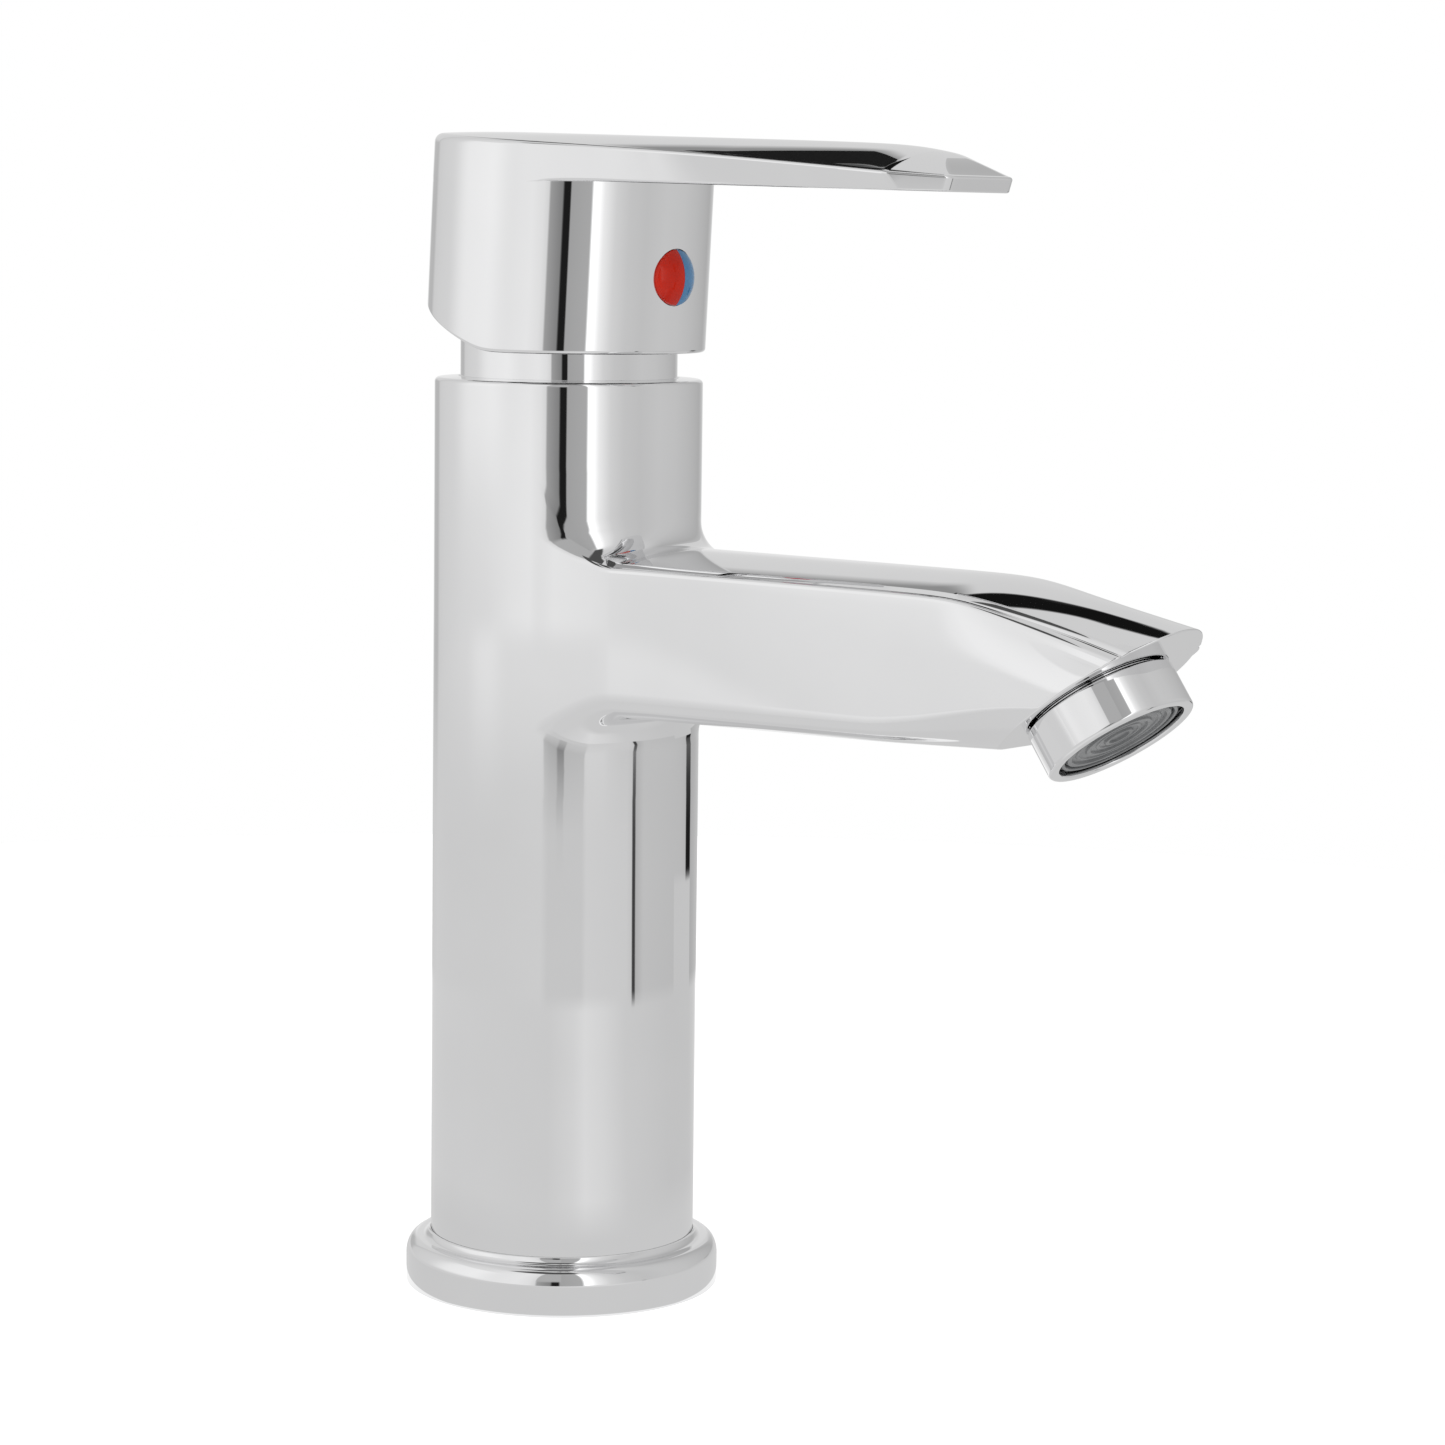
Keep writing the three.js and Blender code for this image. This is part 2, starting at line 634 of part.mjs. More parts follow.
function leverEdgeZ(x) {
  return 190.3 - 0.055 * (x + 8) - 0.00013 * (x + 8) ** 2;
}

function leverUndersideZ(x) {
  return LEVER_UNDERSIDE - LEVER_UNDERSIDE_FALL * Math.max(x, 0);
}

const BACK_STEPS = 26;
const FLARE_STEPS = 7;
const SIDE_STEPS = 3;
const END_STEPS = 4;
const FRONT_STEPS = 2 * (FLARE_STEPS + SIDE_STEPS + 1) + END_STEPS;

// The skirt's circle at unit radius: the back, from the +Y flare round to the -Y flare, then
// the front, with as many points as the lever's outline has there.
function skirtAngles() {
  const backSpan = 2 * (Math.PI - LEVER_FLARE_ANGLE);
  const angles = [];
  for (let i = 0; i < BACK_STEPS; i += 1) {
    angles.push(LEVER_FLARE_ANGLE + (backSpan * i) / BACK_STEPS);
  }
  for (let i = 0; i < FRONT_STEPS; i += 1) {
    angles.push(-LEVER_FLARE_ANGLE + (2 * LEVER_FLARE_ANGLE * i) / FRONT_STEPS);
  }
  return angles;
}

// The lever's front half-outline in plan, from the -Y flare to the end's middle, at height z.
function leverSide(z, halfWidth, endX) {
  const sine = Math.sin(LEVER_FLARE_ANGLE);
  const flareRadius = (SKIRT_RADIUS * sine - halfWidth) / (1 - sine);
  const centreX = skirtCentreX(z) + (SKIRT_RADIUS + flareRadius) * Math.cos(LEVER_FLARE_ANGLE);
  const centreY = halfWidth + flareRadius;
  const cornerX = endX - (halfWidth - LEVER_END_HALF_WIDTH) / LEVER_CORNER_SLOPE;
  const points = [];
  for (let i = 0; i < FLARE_STEPS; i += 1) {
    const angle = (90 * DEGREE - LEVER_FLARE_ANGLE) * (1 - i / FLARE_STEPS);
    points.push([centreX - flareRadius * Math.sin(angle), flareRadius * Math.cos(angle) - centreY]);
  }
  for (let i = 0; i <= SIDE_STEPS; i += 1) {
    points.push([lerp(centreX, cornerX, i / SIDE_STEPS), -halfWidth]);
  }
  for (let i = 0; i <= END_STEPS / 2; i += 1) {
    points.push([endX, -LEVER_END_HALF_WIDTH * (1 - (2 * i) / END_STEPS)]);
  }
  return points;
}

function leverOutline(z, halfWidth, endX) {
  const back = skirtAngles().slice(0, BACK_STEPS).map((angle) => (
    [skirtCentreX(z) + SKIRT_RADIUS * Math.cos(angle), SKIRT_RADIUS * Math.sin(angle)]
  ));
  const near = leverSide(z, halfWidth, endX);
  const far = near.slice(1, -1).reverse().map(([x, y]) => [x, -y]);
  return [...back, ...near, ...far];
}

function skirtRing(heightAt) {
  return skirtAngles().map((angle) => {
    const z = heightAt(Math.cos(angle));
    const x = skirtCentreX(z) + SKIRT_RADIUS * Math.cos(angle);
    return new THREE.Vector3(x, SKIRT_RADIUS * Math.sin(angle), z);
  });
}

// A ring of the top surface: share 1 is the outline and share 0 the line along its middle.
function topRing(outline, share) {
  return outline.map(([x, y]) => {
    const spineX = THREE.MathUtils.clamp(x, 0, LEVER_END_X - LEVER_END_HALF_WIDTH);
    const px = lerp(spineX, x, share);
    const edge = leverEdgeZ(x);
    return new THREE.Vector3(px, y * share, edge + (leverCrownZ(px) - edge) * (1 - share ** 2));
  });
}

function handleSolid() {
  const lowOutline = leverOutline(LEVER_UNDERSIDE, LEVER_LOW_HALF_WIDTH, LEVER_LOW_END_X);
  const topOutline = leverOutline(leverEdgeZ(0), LEVER_HALF_WIDTH, LEVER_END_X);
  const underside = lowOutline.map(([x, y]) => new THREE.Vector3(x, y, leverUndersideZ(x)));
  return loft([
    skirtRing(skirtBottomZ),
    skirtRing(() => LEVER_UNDERSIDE - 0.05),
    underside,
    ...[1, 0.8, 0.6, 0.4, 0.2, 0].map((share) => topRing(topOutline, share)),
  ]);
}

function handleCavity() {
  const radius = SKIRT_RADIUS - HANDLE_WALL;
  const low = 140;
  const level = (z) => skirtAngles().map((angle) => new THREE.Vector3(
    skirtCentreX(z) + radius * Math.cos(angle),
    radius * Math.sin(angle),
    z,
  ));
  const hollow = loft([level(low), level(HANDLE_CEILING)]);
  const boss = disc(BOSS_RADIUS, BOSS_LOW, HANDLE_CEILING + 1, MEDIUM);
  const rib = box([0, -5.3, INDEX_Z - 5.5], [SKIRT_RADIUS + 2, 5.3, INDEX_Z + 5.5]);
  return cut(hollow, boss, rib);
}

function handle() {
  const half = STEM_SQUARE / 2 + GAP;
  const socket = box([-half, -half, BOSS_LOW - 1], [half, half, STEM_TOP + 0.6]);
  const screwBore = rodAlongX(SCREW_RADIUS + GAP, 0, INDEX_FLOOR_X + 1, INDEX_Z);
  const indexRecess = rodAlongX(INDEX_RADIUS + GAP, INDEX_FLOOR_X, SKIRT_RADIUS + 5, INDEX_Z);
  return cut(handleSolid(), handleCavity(), socket, screwBore, indexRecess);
}

function setScrew() {
  const start = STEM_SQUARE / 2 + GAP + 0.2;
  const end = start + 10;
  const key = hexPrism(2.5, end - 2.5, end + 1).rotateY(Math.PI / 2).translate(0, 0, INDEX_Z);
  return cut(rodAlongX(SCREW_RADIUS, start, end, INDEX_Z), key);
}

// One half of the domed two-colour button, on the side given.
function indexHalf(side) {
  const back = INDEX_FLOOR_X + GAP;
  const domeRadius = (INDEX_RADIUS ** 2 + INDEX_DOME_RISE ** 2) / (2 * INDEX_DOME_RISE);
  const domeCentre = INDEX_RIM_X + INDEX_DOME_RISE - domeRadius;
  const dome = [];
  for (let step = 0; step <= 5; step += 1) {
    const radius = INDEX_RADIUS * (1 - step / 5);
    dome.push([radius, domeCentre + Math.sqrt(domeRadius ** 2 - radius ** 2)]);
  }
  const profile = [[0, back - 4.2], [SCREW_RADIUS, back - 4.2], [SCREW_RADIUS, back], [INDEX_RADIUS, back]];
  const button = revolve([...profile, ...dome], 32).rotateY(Math.PI / 2).translate(0, 0, INDEX_Z);
  const ends = [GAP / 2, INDEX_RADIUS + 1].map((y) => y * side).sort((a, b) => a - b);
  const halfSpace = box([10, ends[0], INDEX_Z - 10], [30, ends[1], INDEX_Z + 10]);
  return overlap(button, halfSpace);
}

// ---------------------------------------------------------------- aerator, in the seat's frame

function aeratorHousing() {
  const end = -AERATOR_LENGTH;
  const threadBore = THREAD_RADIUS + 0.35;
  const lip = 10.3;
  return revolve([
    [lip, end],
    [AERATOR_RADIUS - 0.6, end],
    [AERATOR_RADIUS, end + 0.6],
    [AERATOR_RADIUS, -0.35],
    [threadBore, -0.35],
    [threadBore, -6],
    [lip, -6.9],
    [lip, end],
  ], FINE);
}

function aeratorWasher() {
  const high = -THREAD_LENGTH - GAP;
  return ring(OUTLET_RADIUS + 0.3, THREAD_RADIUS, high - 0.8, high, MEDIUM);
}

function aeratorCore() {
  return revolve([
    [9, -7.2],
    [9.7, -7.2],
    [9.7, -6],
    [THREAD_RADIUS, -5.9],
    [THREAD_RADIUS, -5.4],
    [8.2, -5.4],
    [8.2, 4],
    [7.4, 4],
    [7.4, -5.5],
    [9, -6],
    [9, -7.2],
  ], MEDIUM);
}

// Concentric rings on three spokes, which straighten the stream.
function aeratorDiffuser() {
  const low = -7;
  const high = -6.3;
  const spokes = [0, 1, 2].map((index) => (
    box([0, -0.5, low], [8.4, 0.5, high]).rotateZ(index * 120 * DEGREE)
  ));
  const rings = [[4.7, 5.5], [7.9, 8.7]].map(([inner, outer]) => ring(inner, outer, low, high, MEDIUM));
  return join(disc(2.2, low, high, SMALL), ...rings, ...spokes);
}

// A shallow dome with two circles of holes, which keeps grit out of the core.
function aeratorScreen() {
  const low = 4 + GAP;
  const dome = revolve([
    [0, low],
    [8, low],
    [8, low + 0.5],
    [5.5, low + 1.1],
    [2.5, low + 1.5],
    [0, low + 1.6],
  ], MEDIUM);
  const holes = [[6, 2.2], [12, 5.2]].flatMap(([count, radius]) => (
    Array.from({ length: count }, (_, index) => (
      disc(0.75, low - 1, low + 3, 6).translate(radius, 0, 0).rotateZ((index / count) * 2 * Math.PI)
    ))
  ));
  return cut(dome, ...holes);
}

// ---------------------------------------------------------------- materials and assembly

function finish(color, roughness, metalness) {
  return new THREE.MeshStandardMaterial({ color, roughness, metalness });
}

const polishedChrome = () => finish(0xdfe2e4, 0.06, 1);
const plainBrass = () => finish(0xc9a55a, 0.4, 1);
const steel = () => finish(0xb8bbbd, 0.3, 1);
const blackRubber = () => finish(0x1c1c1c, 0.9, 0);
const whiteNylon = () => finish(0xe9e7e0, 0.5, 0);
const greyNylon = () => finish(0x8f9396, 0.5, 0);
const alumina = () => finish(0xf4f1ea, 0.2, 0);
const redAcrylic = () => finish(0xb0200f, 0.15, 0);
const blueAcrylic = () => finish(0x2f69a0, 0.15, 0);

const faucet = new THREE.Group();

function add(name, geometry, material, parent = faucet) {
  const mesh = new THREE.Mesh(geometry, material);
  mesh.name = name;
  parent.add(mesh);
  return mesh;
}

function addPortSeals() {
  const low = POCKET_FLOOR + GAP / 2;
  const seals = [
    ['hot_inlet_seal', { ...INLET_PORT }],
    ['cold_inlet_seal', { ...INLET_PORT, y: -INLET_PORT.y }],
    ['outlet_seal', { ...OUTLET_PORT }],
  ];
  for (const [name, port] of seals) {
    add(name, portSeal(port.radius), blackRubber()).position.set(port.x, port.y, low);
  }
}

function addBody() {
  add('faucet_body', faucetBody(), polishedChrome());
  add('base_ring', baseRing(), polishedChrome());
  add('base_gasket', ring(GASKET_INNER, GASKET_OUTER, 0, GASKET_HEIGHT, FINE), blackRubber());
}

function addCartridge() {
  add('cartridge_base', cartridgeBase(), whiteNylon());
  addPortSeals();
  add('disc_seal', discSeal(), blackRubber());
  add('fixed_ceramic_disc', fixedDisc(), alumina());
  add('moving_ceramic_disc', movingDisc(), alumina());
  add('disc_carrier', discCarrier(), whiteNylon());
  add('cartridge_housing', cartridgeHousing(), whiteNylon());
  add('stem_guide', stemGuide(), whiteNylon());
  add('pivot_pin', rodAlongY(PIN_RADIUS, GUIDE_RADIUS - 0.6, PIVOT_Z), steel());
  add('cartridge_stem', cartridgeStem(), plainBrass());
  add('cartridge_nut', cartridgeNut(), plainBrass());
  add('cartridge_collar', collar(), polishedChrome());
}

function addHandle() {
  add('handle', handle(), polishedChrome());
  add('handle_set_screw', setScrew(), steel());
  add('index_button_blue', indexHalf(1), blueAcrylic());
  add('index_button_red', indexHalf(-1), redAcrylic());
}

function addAerator() {
  add('aerator_housing', aeratorHousing(), polishedChrome(), seat);
  add('aerator_washer', aeratorWasher(), blackRubber(), seat);
  add('aerator_core', aeratorCore(), greyNylon(), seat);
  add('aerator_diffuser', aeratorDiffuser(), greyNylon(), seat);
  add('aerator_screen', aeratorScreen(), steel(), seat);
  faucet.add(seat);
}

addBody();
addCartridge();
addHandle();
addAerator();

export default faucet;
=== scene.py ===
"""The looks of a chrome single-lever basin mixer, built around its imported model.

Lengths are metres. +X is the way the spout points, +Z is up, and the origin is the middle of
the underside. Outlines are written in millimetres and scaled by MM.
"""

import json
import math

import bmesh
import bpy
from mathutils import Matrix, Vector


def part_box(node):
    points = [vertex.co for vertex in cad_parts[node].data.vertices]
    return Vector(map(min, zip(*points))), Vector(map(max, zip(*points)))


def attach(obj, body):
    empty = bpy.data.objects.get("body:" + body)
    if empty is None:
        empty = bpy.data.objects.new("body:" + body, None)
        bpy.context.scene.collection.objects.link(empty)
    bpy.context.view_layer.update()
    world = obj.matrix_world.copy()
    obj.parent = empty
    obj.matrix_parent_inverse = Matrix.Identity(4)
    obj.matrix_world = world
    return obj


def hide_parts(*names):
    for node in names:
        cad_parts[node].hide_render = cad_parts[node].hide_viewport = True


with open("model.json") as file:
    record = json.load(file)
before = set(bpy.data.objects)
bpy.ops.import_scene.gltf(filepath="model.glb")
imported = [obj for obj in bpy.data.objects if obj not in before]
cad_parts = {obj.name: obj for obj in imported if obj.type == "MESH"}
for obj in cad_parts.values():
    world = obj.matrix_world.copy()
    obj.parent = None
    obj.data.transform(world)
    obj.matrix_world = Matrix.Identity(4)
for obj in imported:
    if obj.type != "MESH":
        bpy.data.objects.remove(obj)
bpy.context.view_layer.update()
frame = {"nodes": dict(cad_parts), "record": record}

MM = 0.001

# -------- measures, in millimetres


def cad(node, corner, axis):
    """One coordinate of a CAD node's box, in millimetres: corner 0 is the lowest, 1 the highest."""
    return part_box(node)[corner][axis] / MM


# Column
COLUMN_RADIUS = 22
COLUMN_TOP = 151.2
COLUMN_WALL_TOP = 150.4  # where the plain wall ends, just below the rim's rounding
RIM_ROUNDING = 0.75
RIM_RISE = 0.3  # the rim's top slopes up towards the pocket
RIM_INNER_ROUNDING = 0.3
POCKET_RADIUS = 18.1
POCKET_FLOOR = 121
FOOT_RADIUS = 23.4
FOOT_HEIGHT = 3.5
GASKET_GROOVE = (18.2, 21.4, 1.8)  # inner radius, outer radius, depth

# Sockets in the underside: x, y, radius, depth
SOCKETS = ((-3, 9, 4.55, 14), (-3, -9, 4.55, 14), (11, 0, 3.4, 12))

# Base ring
BASE_RADIUS = cad("base_ring", 1, 0)
BASE_HEIGHT = cad("base_ring", 1, 2)
BASE_LOWER_EDGE = 0.5
BASE_SHOULDER = (2.0, 3.0)  # depth and height of its elliptical shoulder
BASE_FILLET = 1.3  # between its top and the column
BASE_GAP = 0.3  # between it and the column's foot
BASE_INNER = COLUMN_RADIUS + 0.06

# Collar
COLLAR_RADIUS = cad("cartridge_collar", 1, 0)
COLLAR_LOW = cad("cartridge_collar", 0, 2)
COLLAR_TOP = cad("cartridge_collar", 1, 2)
COLLAR_OPENING = 13.3
COLLAR_WALL = 0.95
COLLAR_PLATE = (153.2, 155.4)

# Spout
SPOUT_HALF_WIDTH = 14.2
SPOUT_CROWN = 124.8
SPOUT_CROWN_END_X = 92
SPOUT_CROWN_FALL = math.tan(math.radians(11))
SPOUT_EDGE = 122.3
SPOUT_EDGE_END_X = 90
SPOUT_EDGE_FALL = math.tan(math.radians(14.3))
SPOUT_BEND = 5  # how gently the top bends down
SPOUT_ARCH_BEND = 0.12  # how gently the arch at the tip meets the flat edges
SPOUT_TIP_START = 86  # from here the arched top draws in from the sides
SPOUT_TIP_END = 112
SPOUT_TIP_NARROWING = 2.2  # how far each top edge moves in by the tip
SPOUT_NARROWING_HEIGHT = 8  # how far down the sides lean in with it
SPOUT_TIP_ARCH = 10.2  # half-width of the arch at the tip
SPOUT_BOTTOM = 98
SPOUT_BOTTOM_RISE = 0.018
SPOUT_BOTTOM_CORNERS = (3, 7)  # rounding of the bottom's edges, at the root and at the tip
SPOUT_CORNER_SPAN = (72, 106)  # the stretch along which that rounding grows
SPOUT_DRAFT = 0.032  # how far the sides lean in at the tip, for each millimetre of height
SPOUT_DRAFT_SPAN = (12, 90)
SPOUT_TOP_CORNERS = (0.9, 2.2)  # rounding of the top's edges, at the root and at the tip
SPOUT_TOP_TURN = math.radians(80)  # how far the top edges' rounding turns
SPOUT_FILLET = 5
SPOUT_ROOT_ANGLE = math.radians(60)
LIP_ROUNDING = 0.45

# Slanted seat at the spout's end, and the aerator that hangs from it
SEAT = Vector((106.6, 0, 107.3))
SEAT_TILT = math.radians(35.4)
OUTLET_RADIUS = 8.6
OUTLET_DEPTH = 9
THREAD_RADIUS = 10.9
THREAD_LENGTH = 4
SEAT_GROOVE_RADIUS = THREAD_RADIUS + 0.35  # a shallow groove round the thread, and the sleeve's bore
SEAT_GROOVE_DEPTH = 0.3
AERATOR_RADIUS = 12
AERATOR_LENGTH = 7.6
AERATOR_JOINT = 0.35  # the dark line between the seat and the aerator
AERATOR_LIP = 10.3
PLATE_RADIUS = 8.9
PLATE_FACE = -6.4  # below the seat
PLATE_THICKNESS = 0.6
PLATE_RIDGES = (  # inner radius, outer radius, height
    (1.7, 2.3, 0.3),
    (3.3, 3.7, 0.15),
    (4.8, 5.4, 0.3),
    (6.6, 7.0, 0.15),
    (7.9, 8.6, 0.35),
)
RIDGE_SLOPE = 0.15
RIDGE_ROUNDING = 0.08

# Handle
SKIRT_RADIUS = 22.9
SKIRT_BOTTOM = 155.7
SKIRT_CENTRE_X = -0.8
SKIRT_LEAN = 0.054
SKIRT_EDGE_ROUNDING = 0.6
BACK_CUT = math.tan(math.radians(21))
BACK_CUT_X = 1.4
BACK_CUT_BLEND = 2.2
LEVER_UNDERSIDE = 183.4
LEVER_UNDERSIDE_FALL = 0.02
LEVER_HALF_WIDTH = 14
LEVER_LOW_HALF_WIDTH = 12.8
LEVER_END_X = 83.4
LEVER_LOW_END_X = 82.9
LEVER_END_HALF_WIDTH = 7.84
LEVER_CORNER_SLOPE = 0.76
LEVER_CORNER_ROUNDING = 2.5
LEVER_FLARE_ANGLE = math.radians(66)
LEVER_CROWN = 190.8  # height of the top's middle line, at LEVER_CROWN_X
LEVER_CROWN_X = 6
LEVER_CROWN_FALL = 0.0243
LEVER_CREST_X = 72  # the crown bends down here
LEVER_CREST_FALL = 0.225
LEVER_CREST_BLEND = 6
LEVER_EDGE = 190.3  # height of the top edges, at LEVER_EDGE_X
LEVER_EDGE_X = -8
LEVER_EDGE_FALL = 0.055
LEVER_EDGE_CURVE = 0.00013
LEVER_LOW_ROUNDING = 0.45
SKIRT_WALL_MARGIN = 0.6  # behind the flares, the skirt's rings stop this far below the underside
UNDERSIDE_EDGE_MARGIN = 0.5  # and the rings of the underside's edge start this far below it
LEVER_TOP_ROUNDING = (1.5, 0.5)  # at the back, and along the lever
LEVER_TOP_ROUNDING_SPAN = (-20, 40)  # the stretch along which it changes
HANDLE_WALL = 2.6
HANDLE_CEILING = 184.5
HOLLOW_LOW = 140  # where the cutting solid starts, well below the skirt
BOSS_RADIUS = 8.2
BOSS_LOW = 160
STEM_SOCKET_HALF = 4.3
STEM_SOCKET_TOP = 178.6

# Index button
INDEX_Z = 168
INDEX_RADIUS = 4.5
INDEX_RECESS_RADIUS = 4.6
RECESS_REACH = 6  # how far the cutting solid stands out of the skirt
INDEX_FLOOR_X = 20.4
INDEX_RIM_X = 22.9
INDEX_DOME_RISE = 1.9
INDEX_SEAM = 0.02  # each half stops this far from the seam's middle
INDEX_LIFT = 0.3  # between the recess's floor and the button
INDEX_RIM_EDGE = 0.25  # the side stops this far below the rim, and the dome starts there
INDEX_DOME_SHARE = 0.985  # the dome's outermost radius as a share of the button's
INDEX_DOME_STEPS = 24
INDEX_HALF_TURN_STEPS = 48

# Mesh fineness
AROUND = 160  # steps around a turned piece
ARC = 6  # steps along a small rounding
SPOUT_FLAT = 26  # steps across half of the spout's bottom, and across half of its top
SPOUT_CORNER = 8
SPOUT_SIDE = 16
SPOUT_FILLET_STEPS = 14
SPOUT_LENGTH_STEPS = 20
SPOUT_TIP_STEPS = 26
SPOUT_RINGS_END = 84  # distance from the axis at which the rings start to turn towards the seat
ROOT_PATCH = (math.radians(74), 84, 138)  # half-angle, bottom and top of the patch round the root
ROOT_PATCH_STEPS = 8
COLUMN_BACK_STEPS = 90
COLUMN_LOW_STEPS = 12
BACK_STEPS = 120  # around the skirt, behind the lever's flares
FLARE_STEPS = 14
FLARE_RAMP = 6  # steps over which the underside's edge leaves the skirt
SIDE_STEPS = 30
END_STEPS = 12
SKIRT_STEPS = 8
CROWN_STEPS = 26
SHARP = math.radians(34)

# -------- curves and numbers


def lerp(start, end, amount):
    return start + (end - start) * amount


def clamp(value, low, high):
    return max(low, min(high, value))


def smoothstep(value, low, high):
    amount = clamp((value - low) / (high - low), 0, 1)
    return amount * amount * (3 - 2 * amount)


def soft_excess(value, start, blend):
    """How far value is past start, with a rounded bend about blend long instead of a corner."""
    past = value - start
    return (past + math.hypot(past, blend)) / 2


def steps(count, start=0.0, end=1.0):
    """count + 1 evenly spaced numbers from start to end."""
    return [lerp(start, end, i / count) for i in range(count + 1)]


def arc(x, y, half_width, half_height, angles):
    """Points of an ellipse round (x, y)."""
    return [Vector((x + half_width * math.cos(a), y + half_height * math.sin(a))) for a in angles]


def rounded(corners):
    """The points of an outline whose corners, (x, y, rounding), are replaced by arcs.

    The first and last corners are left as they are.
    """
    points = [Vector(corners[0][:2])]
    for before, corner, after in zip(corners, corners[1:], corners[2:]):
        middle = Vector(corner[:2])
        if corner[2] == 0:
            points.append(middle)
            continue
        back = (Vector(before[:2]) - middle).normalized()
        ahead = (Vector(after[:2]) - middle).normalized()
        half_angle = math.acos(clamp(back.dot(ahead), -1, 1)) / 2
        centre = middle + (back + ahead).normalized() * (corner[2] / math.sin(half_angle))
        start = middle + back * (corner[2] / math.tan(half_angle)) - centre
        end = middle + ahead * (corner[2] / math.tan(half_angle)) - centre
        turn = math.pi - 2 * half_angle
        for amount in steps(ARC):
            shares = (math.sin(turn * (1 - amount)), math.sin(turn * amount))
            points.append(centre + (start * shares[0] + end * shares[1]) / math.sin(turn))
    points.append(Vector(corners[-1][:2]))
    return points


# -------- mesh building


def add_object(name, bm, material=None):
    """Makes an object from the mesh bm, which is in metres."""
    mesh = bpy.data.meshes.new(name)
    bm.to_mesh(mesh)
    bm.free()
    if material is not None:
        mesh.materials.append(material)
    made = bpy.data.objects.new(name, mesh)
    bpy.context.scene.collection.objects.link(made)
    return made


def finish_mesh(name, bm, material):
    """Makes a smooth object, with real edges kept crisp, from the millimetre mesh bm."""
    bmesh.ops.remove_doubles(bm, verts=bm.verts, dist=0.0005)
    bmesh.ops.dissolve_degenerate(bm, edges=bm.edges, dist=0.0005)
    bmesh.ops.recalc_face_normals(bm, faces=bm.faces)
    bmesh.ops.scale(bm, vec=(MM, MM, MM), verts=bm.verts)
    piece = add_object(name, bm, material)
    smooth(piece)
    return piece


def smooth(piece):
    piece.data.shade_smooth()
    piece.data.set_sharp_from_angle(angle=SHARP)
    weighted = piece.modifiers.new("weighted normals", "WEIGHTED_NORMAL")
    weighted.keep_sharp = True
    weighted.weight = 100


def join_levels(bm, levels):
    """Joins closed rings of equally many vertices by quads."""
    for lower, upper in zip(levels, levels[1:]):
        for i in range(len(lower)):
            j = (i + 1) % len(lower)
            bm.faces.new((lower[i], lower[j], upper[j], upper[i]))


def add_rings(bm, rings, cap_start=False, cap_end=False):
    """Adds closed rings of equally many points, joined by quads, and closes an end with a fan."""
    levels = [[bm.verts.new(point) for point in ring] for ring in rings]
    join_levels(bm, levels)
    for wanted, level in ((cap_start, levels[0]), (cap_end, levels[-1])):
        if wanted:
            centre = sum((vertex.co for vertex in level), Vector()) / len(level)
            hub = bm.verts.new(centre)
            for i in range(len(level)):
                bm.faces.new((hub, level[i], level[(i + 1) % len(level)]))


def rings_at(angles, outline):
    """A ring for each (radius, height) of the outline, with a point at each angle."""
    return [
        [Vector((radius * math.cos(a), radius * math.sin(a), height)) for a in angles]
        for radius, height in outline
    ]


def turned(outline, count=AROUND):
    """The rings of a piece turned on the Z axis from its outline of (radius, height) points."""
    return rings_at([2 * math.pi * i / count for i in range(count)], outline)


def turned_piece(name, outline, material, place=None):
    """A turned piece. An outline that starts and ends on the axis, or at one point, is closed."""
    bm = bmesh.new()
    add_rings(bm, turned(outline))
    if place is not None:
        bm.transform(place)
    return finish_mesh(name, bm, material)


def cut_away(piece, bm):
    """Cuts the closed millimetre mesh bm out of the piece."""
    bmesh.ops.remove_doubles(bm, verts=bm.verts, dist=0.0005)
    bmesh.ops.recalc_face_normals(bm, faces=bm.faces)
    bmesh.ops.scale(bm, vec=(MM, MM, MM), verts=bm.verts)
    tool = add_object("tool", bm)
    piece.modifiers.remove(piece.modifiers["weighted normals"])
    boolean = piece.modifiers.new("cut", "BOOLEAN")
    boolean.operation = "DIFFERENCE"
    boolean.solver = "EXACT"
    boolean.object = tool
    with bpy.context.temp_override(object=piece, active_object=piece):
        bpy.ops.object.modifier_apply(modifier="cut")
    mesh = tool.data
    bpy.data.objects.remove(tool)
    bpy.data.meshes.remove(mesh)
    smooth(piece)


def solid_disc(radius, low, high, x=0.0, y=0.0, count=48):
    """A closed cylinder as a millimetre mesh, for cutting."""
    bm = bmesh.new()
    add_rings(bm, turned(((radius, low), (radius, high)), count), True, True)
    bm.transform(Matrix.Translation((x, y, 0)))
    return bm


# -------- spout surface


def spout_half_width(x):
    """Half-width in plan: straight, then flared by an arc that meets the column tangentially."""
    reach = COLUMN_RADIUS * math.sin(SPOUT_ROOT_ANGLE) - SPOUT_HALF_WIDTH
    flare_radius = reach / (1 - math.sin(SPOUT_ROOT_ANGLE))
    flare_x = (COLUMN_RADIUS + flare_radius) * math.cos(SPOUT_ROOT_ANGLE)
    if x >= flare_x:
        return SPOUT_HALF_WIDTH
    back = flare_x - max(x, COLUMN_RADIUS * math.cos(SPOUT_ROOT_ANGLE))
    return SPOUT_HALF_WIDTH + flare_radius - math.sqrt(flare_radius**2 - back**2)


def fillet_rise(distance):
    """The quarter-round fillet's rise at a distance from the column's surface."""
    inset = clamp(SPOUT_FILLET - distance, 0, SPOUT_FILLET)
    return SPOUT_FILLET - math.sqrt(max(SPOUT_FILLET**2 - inset**2, 0))


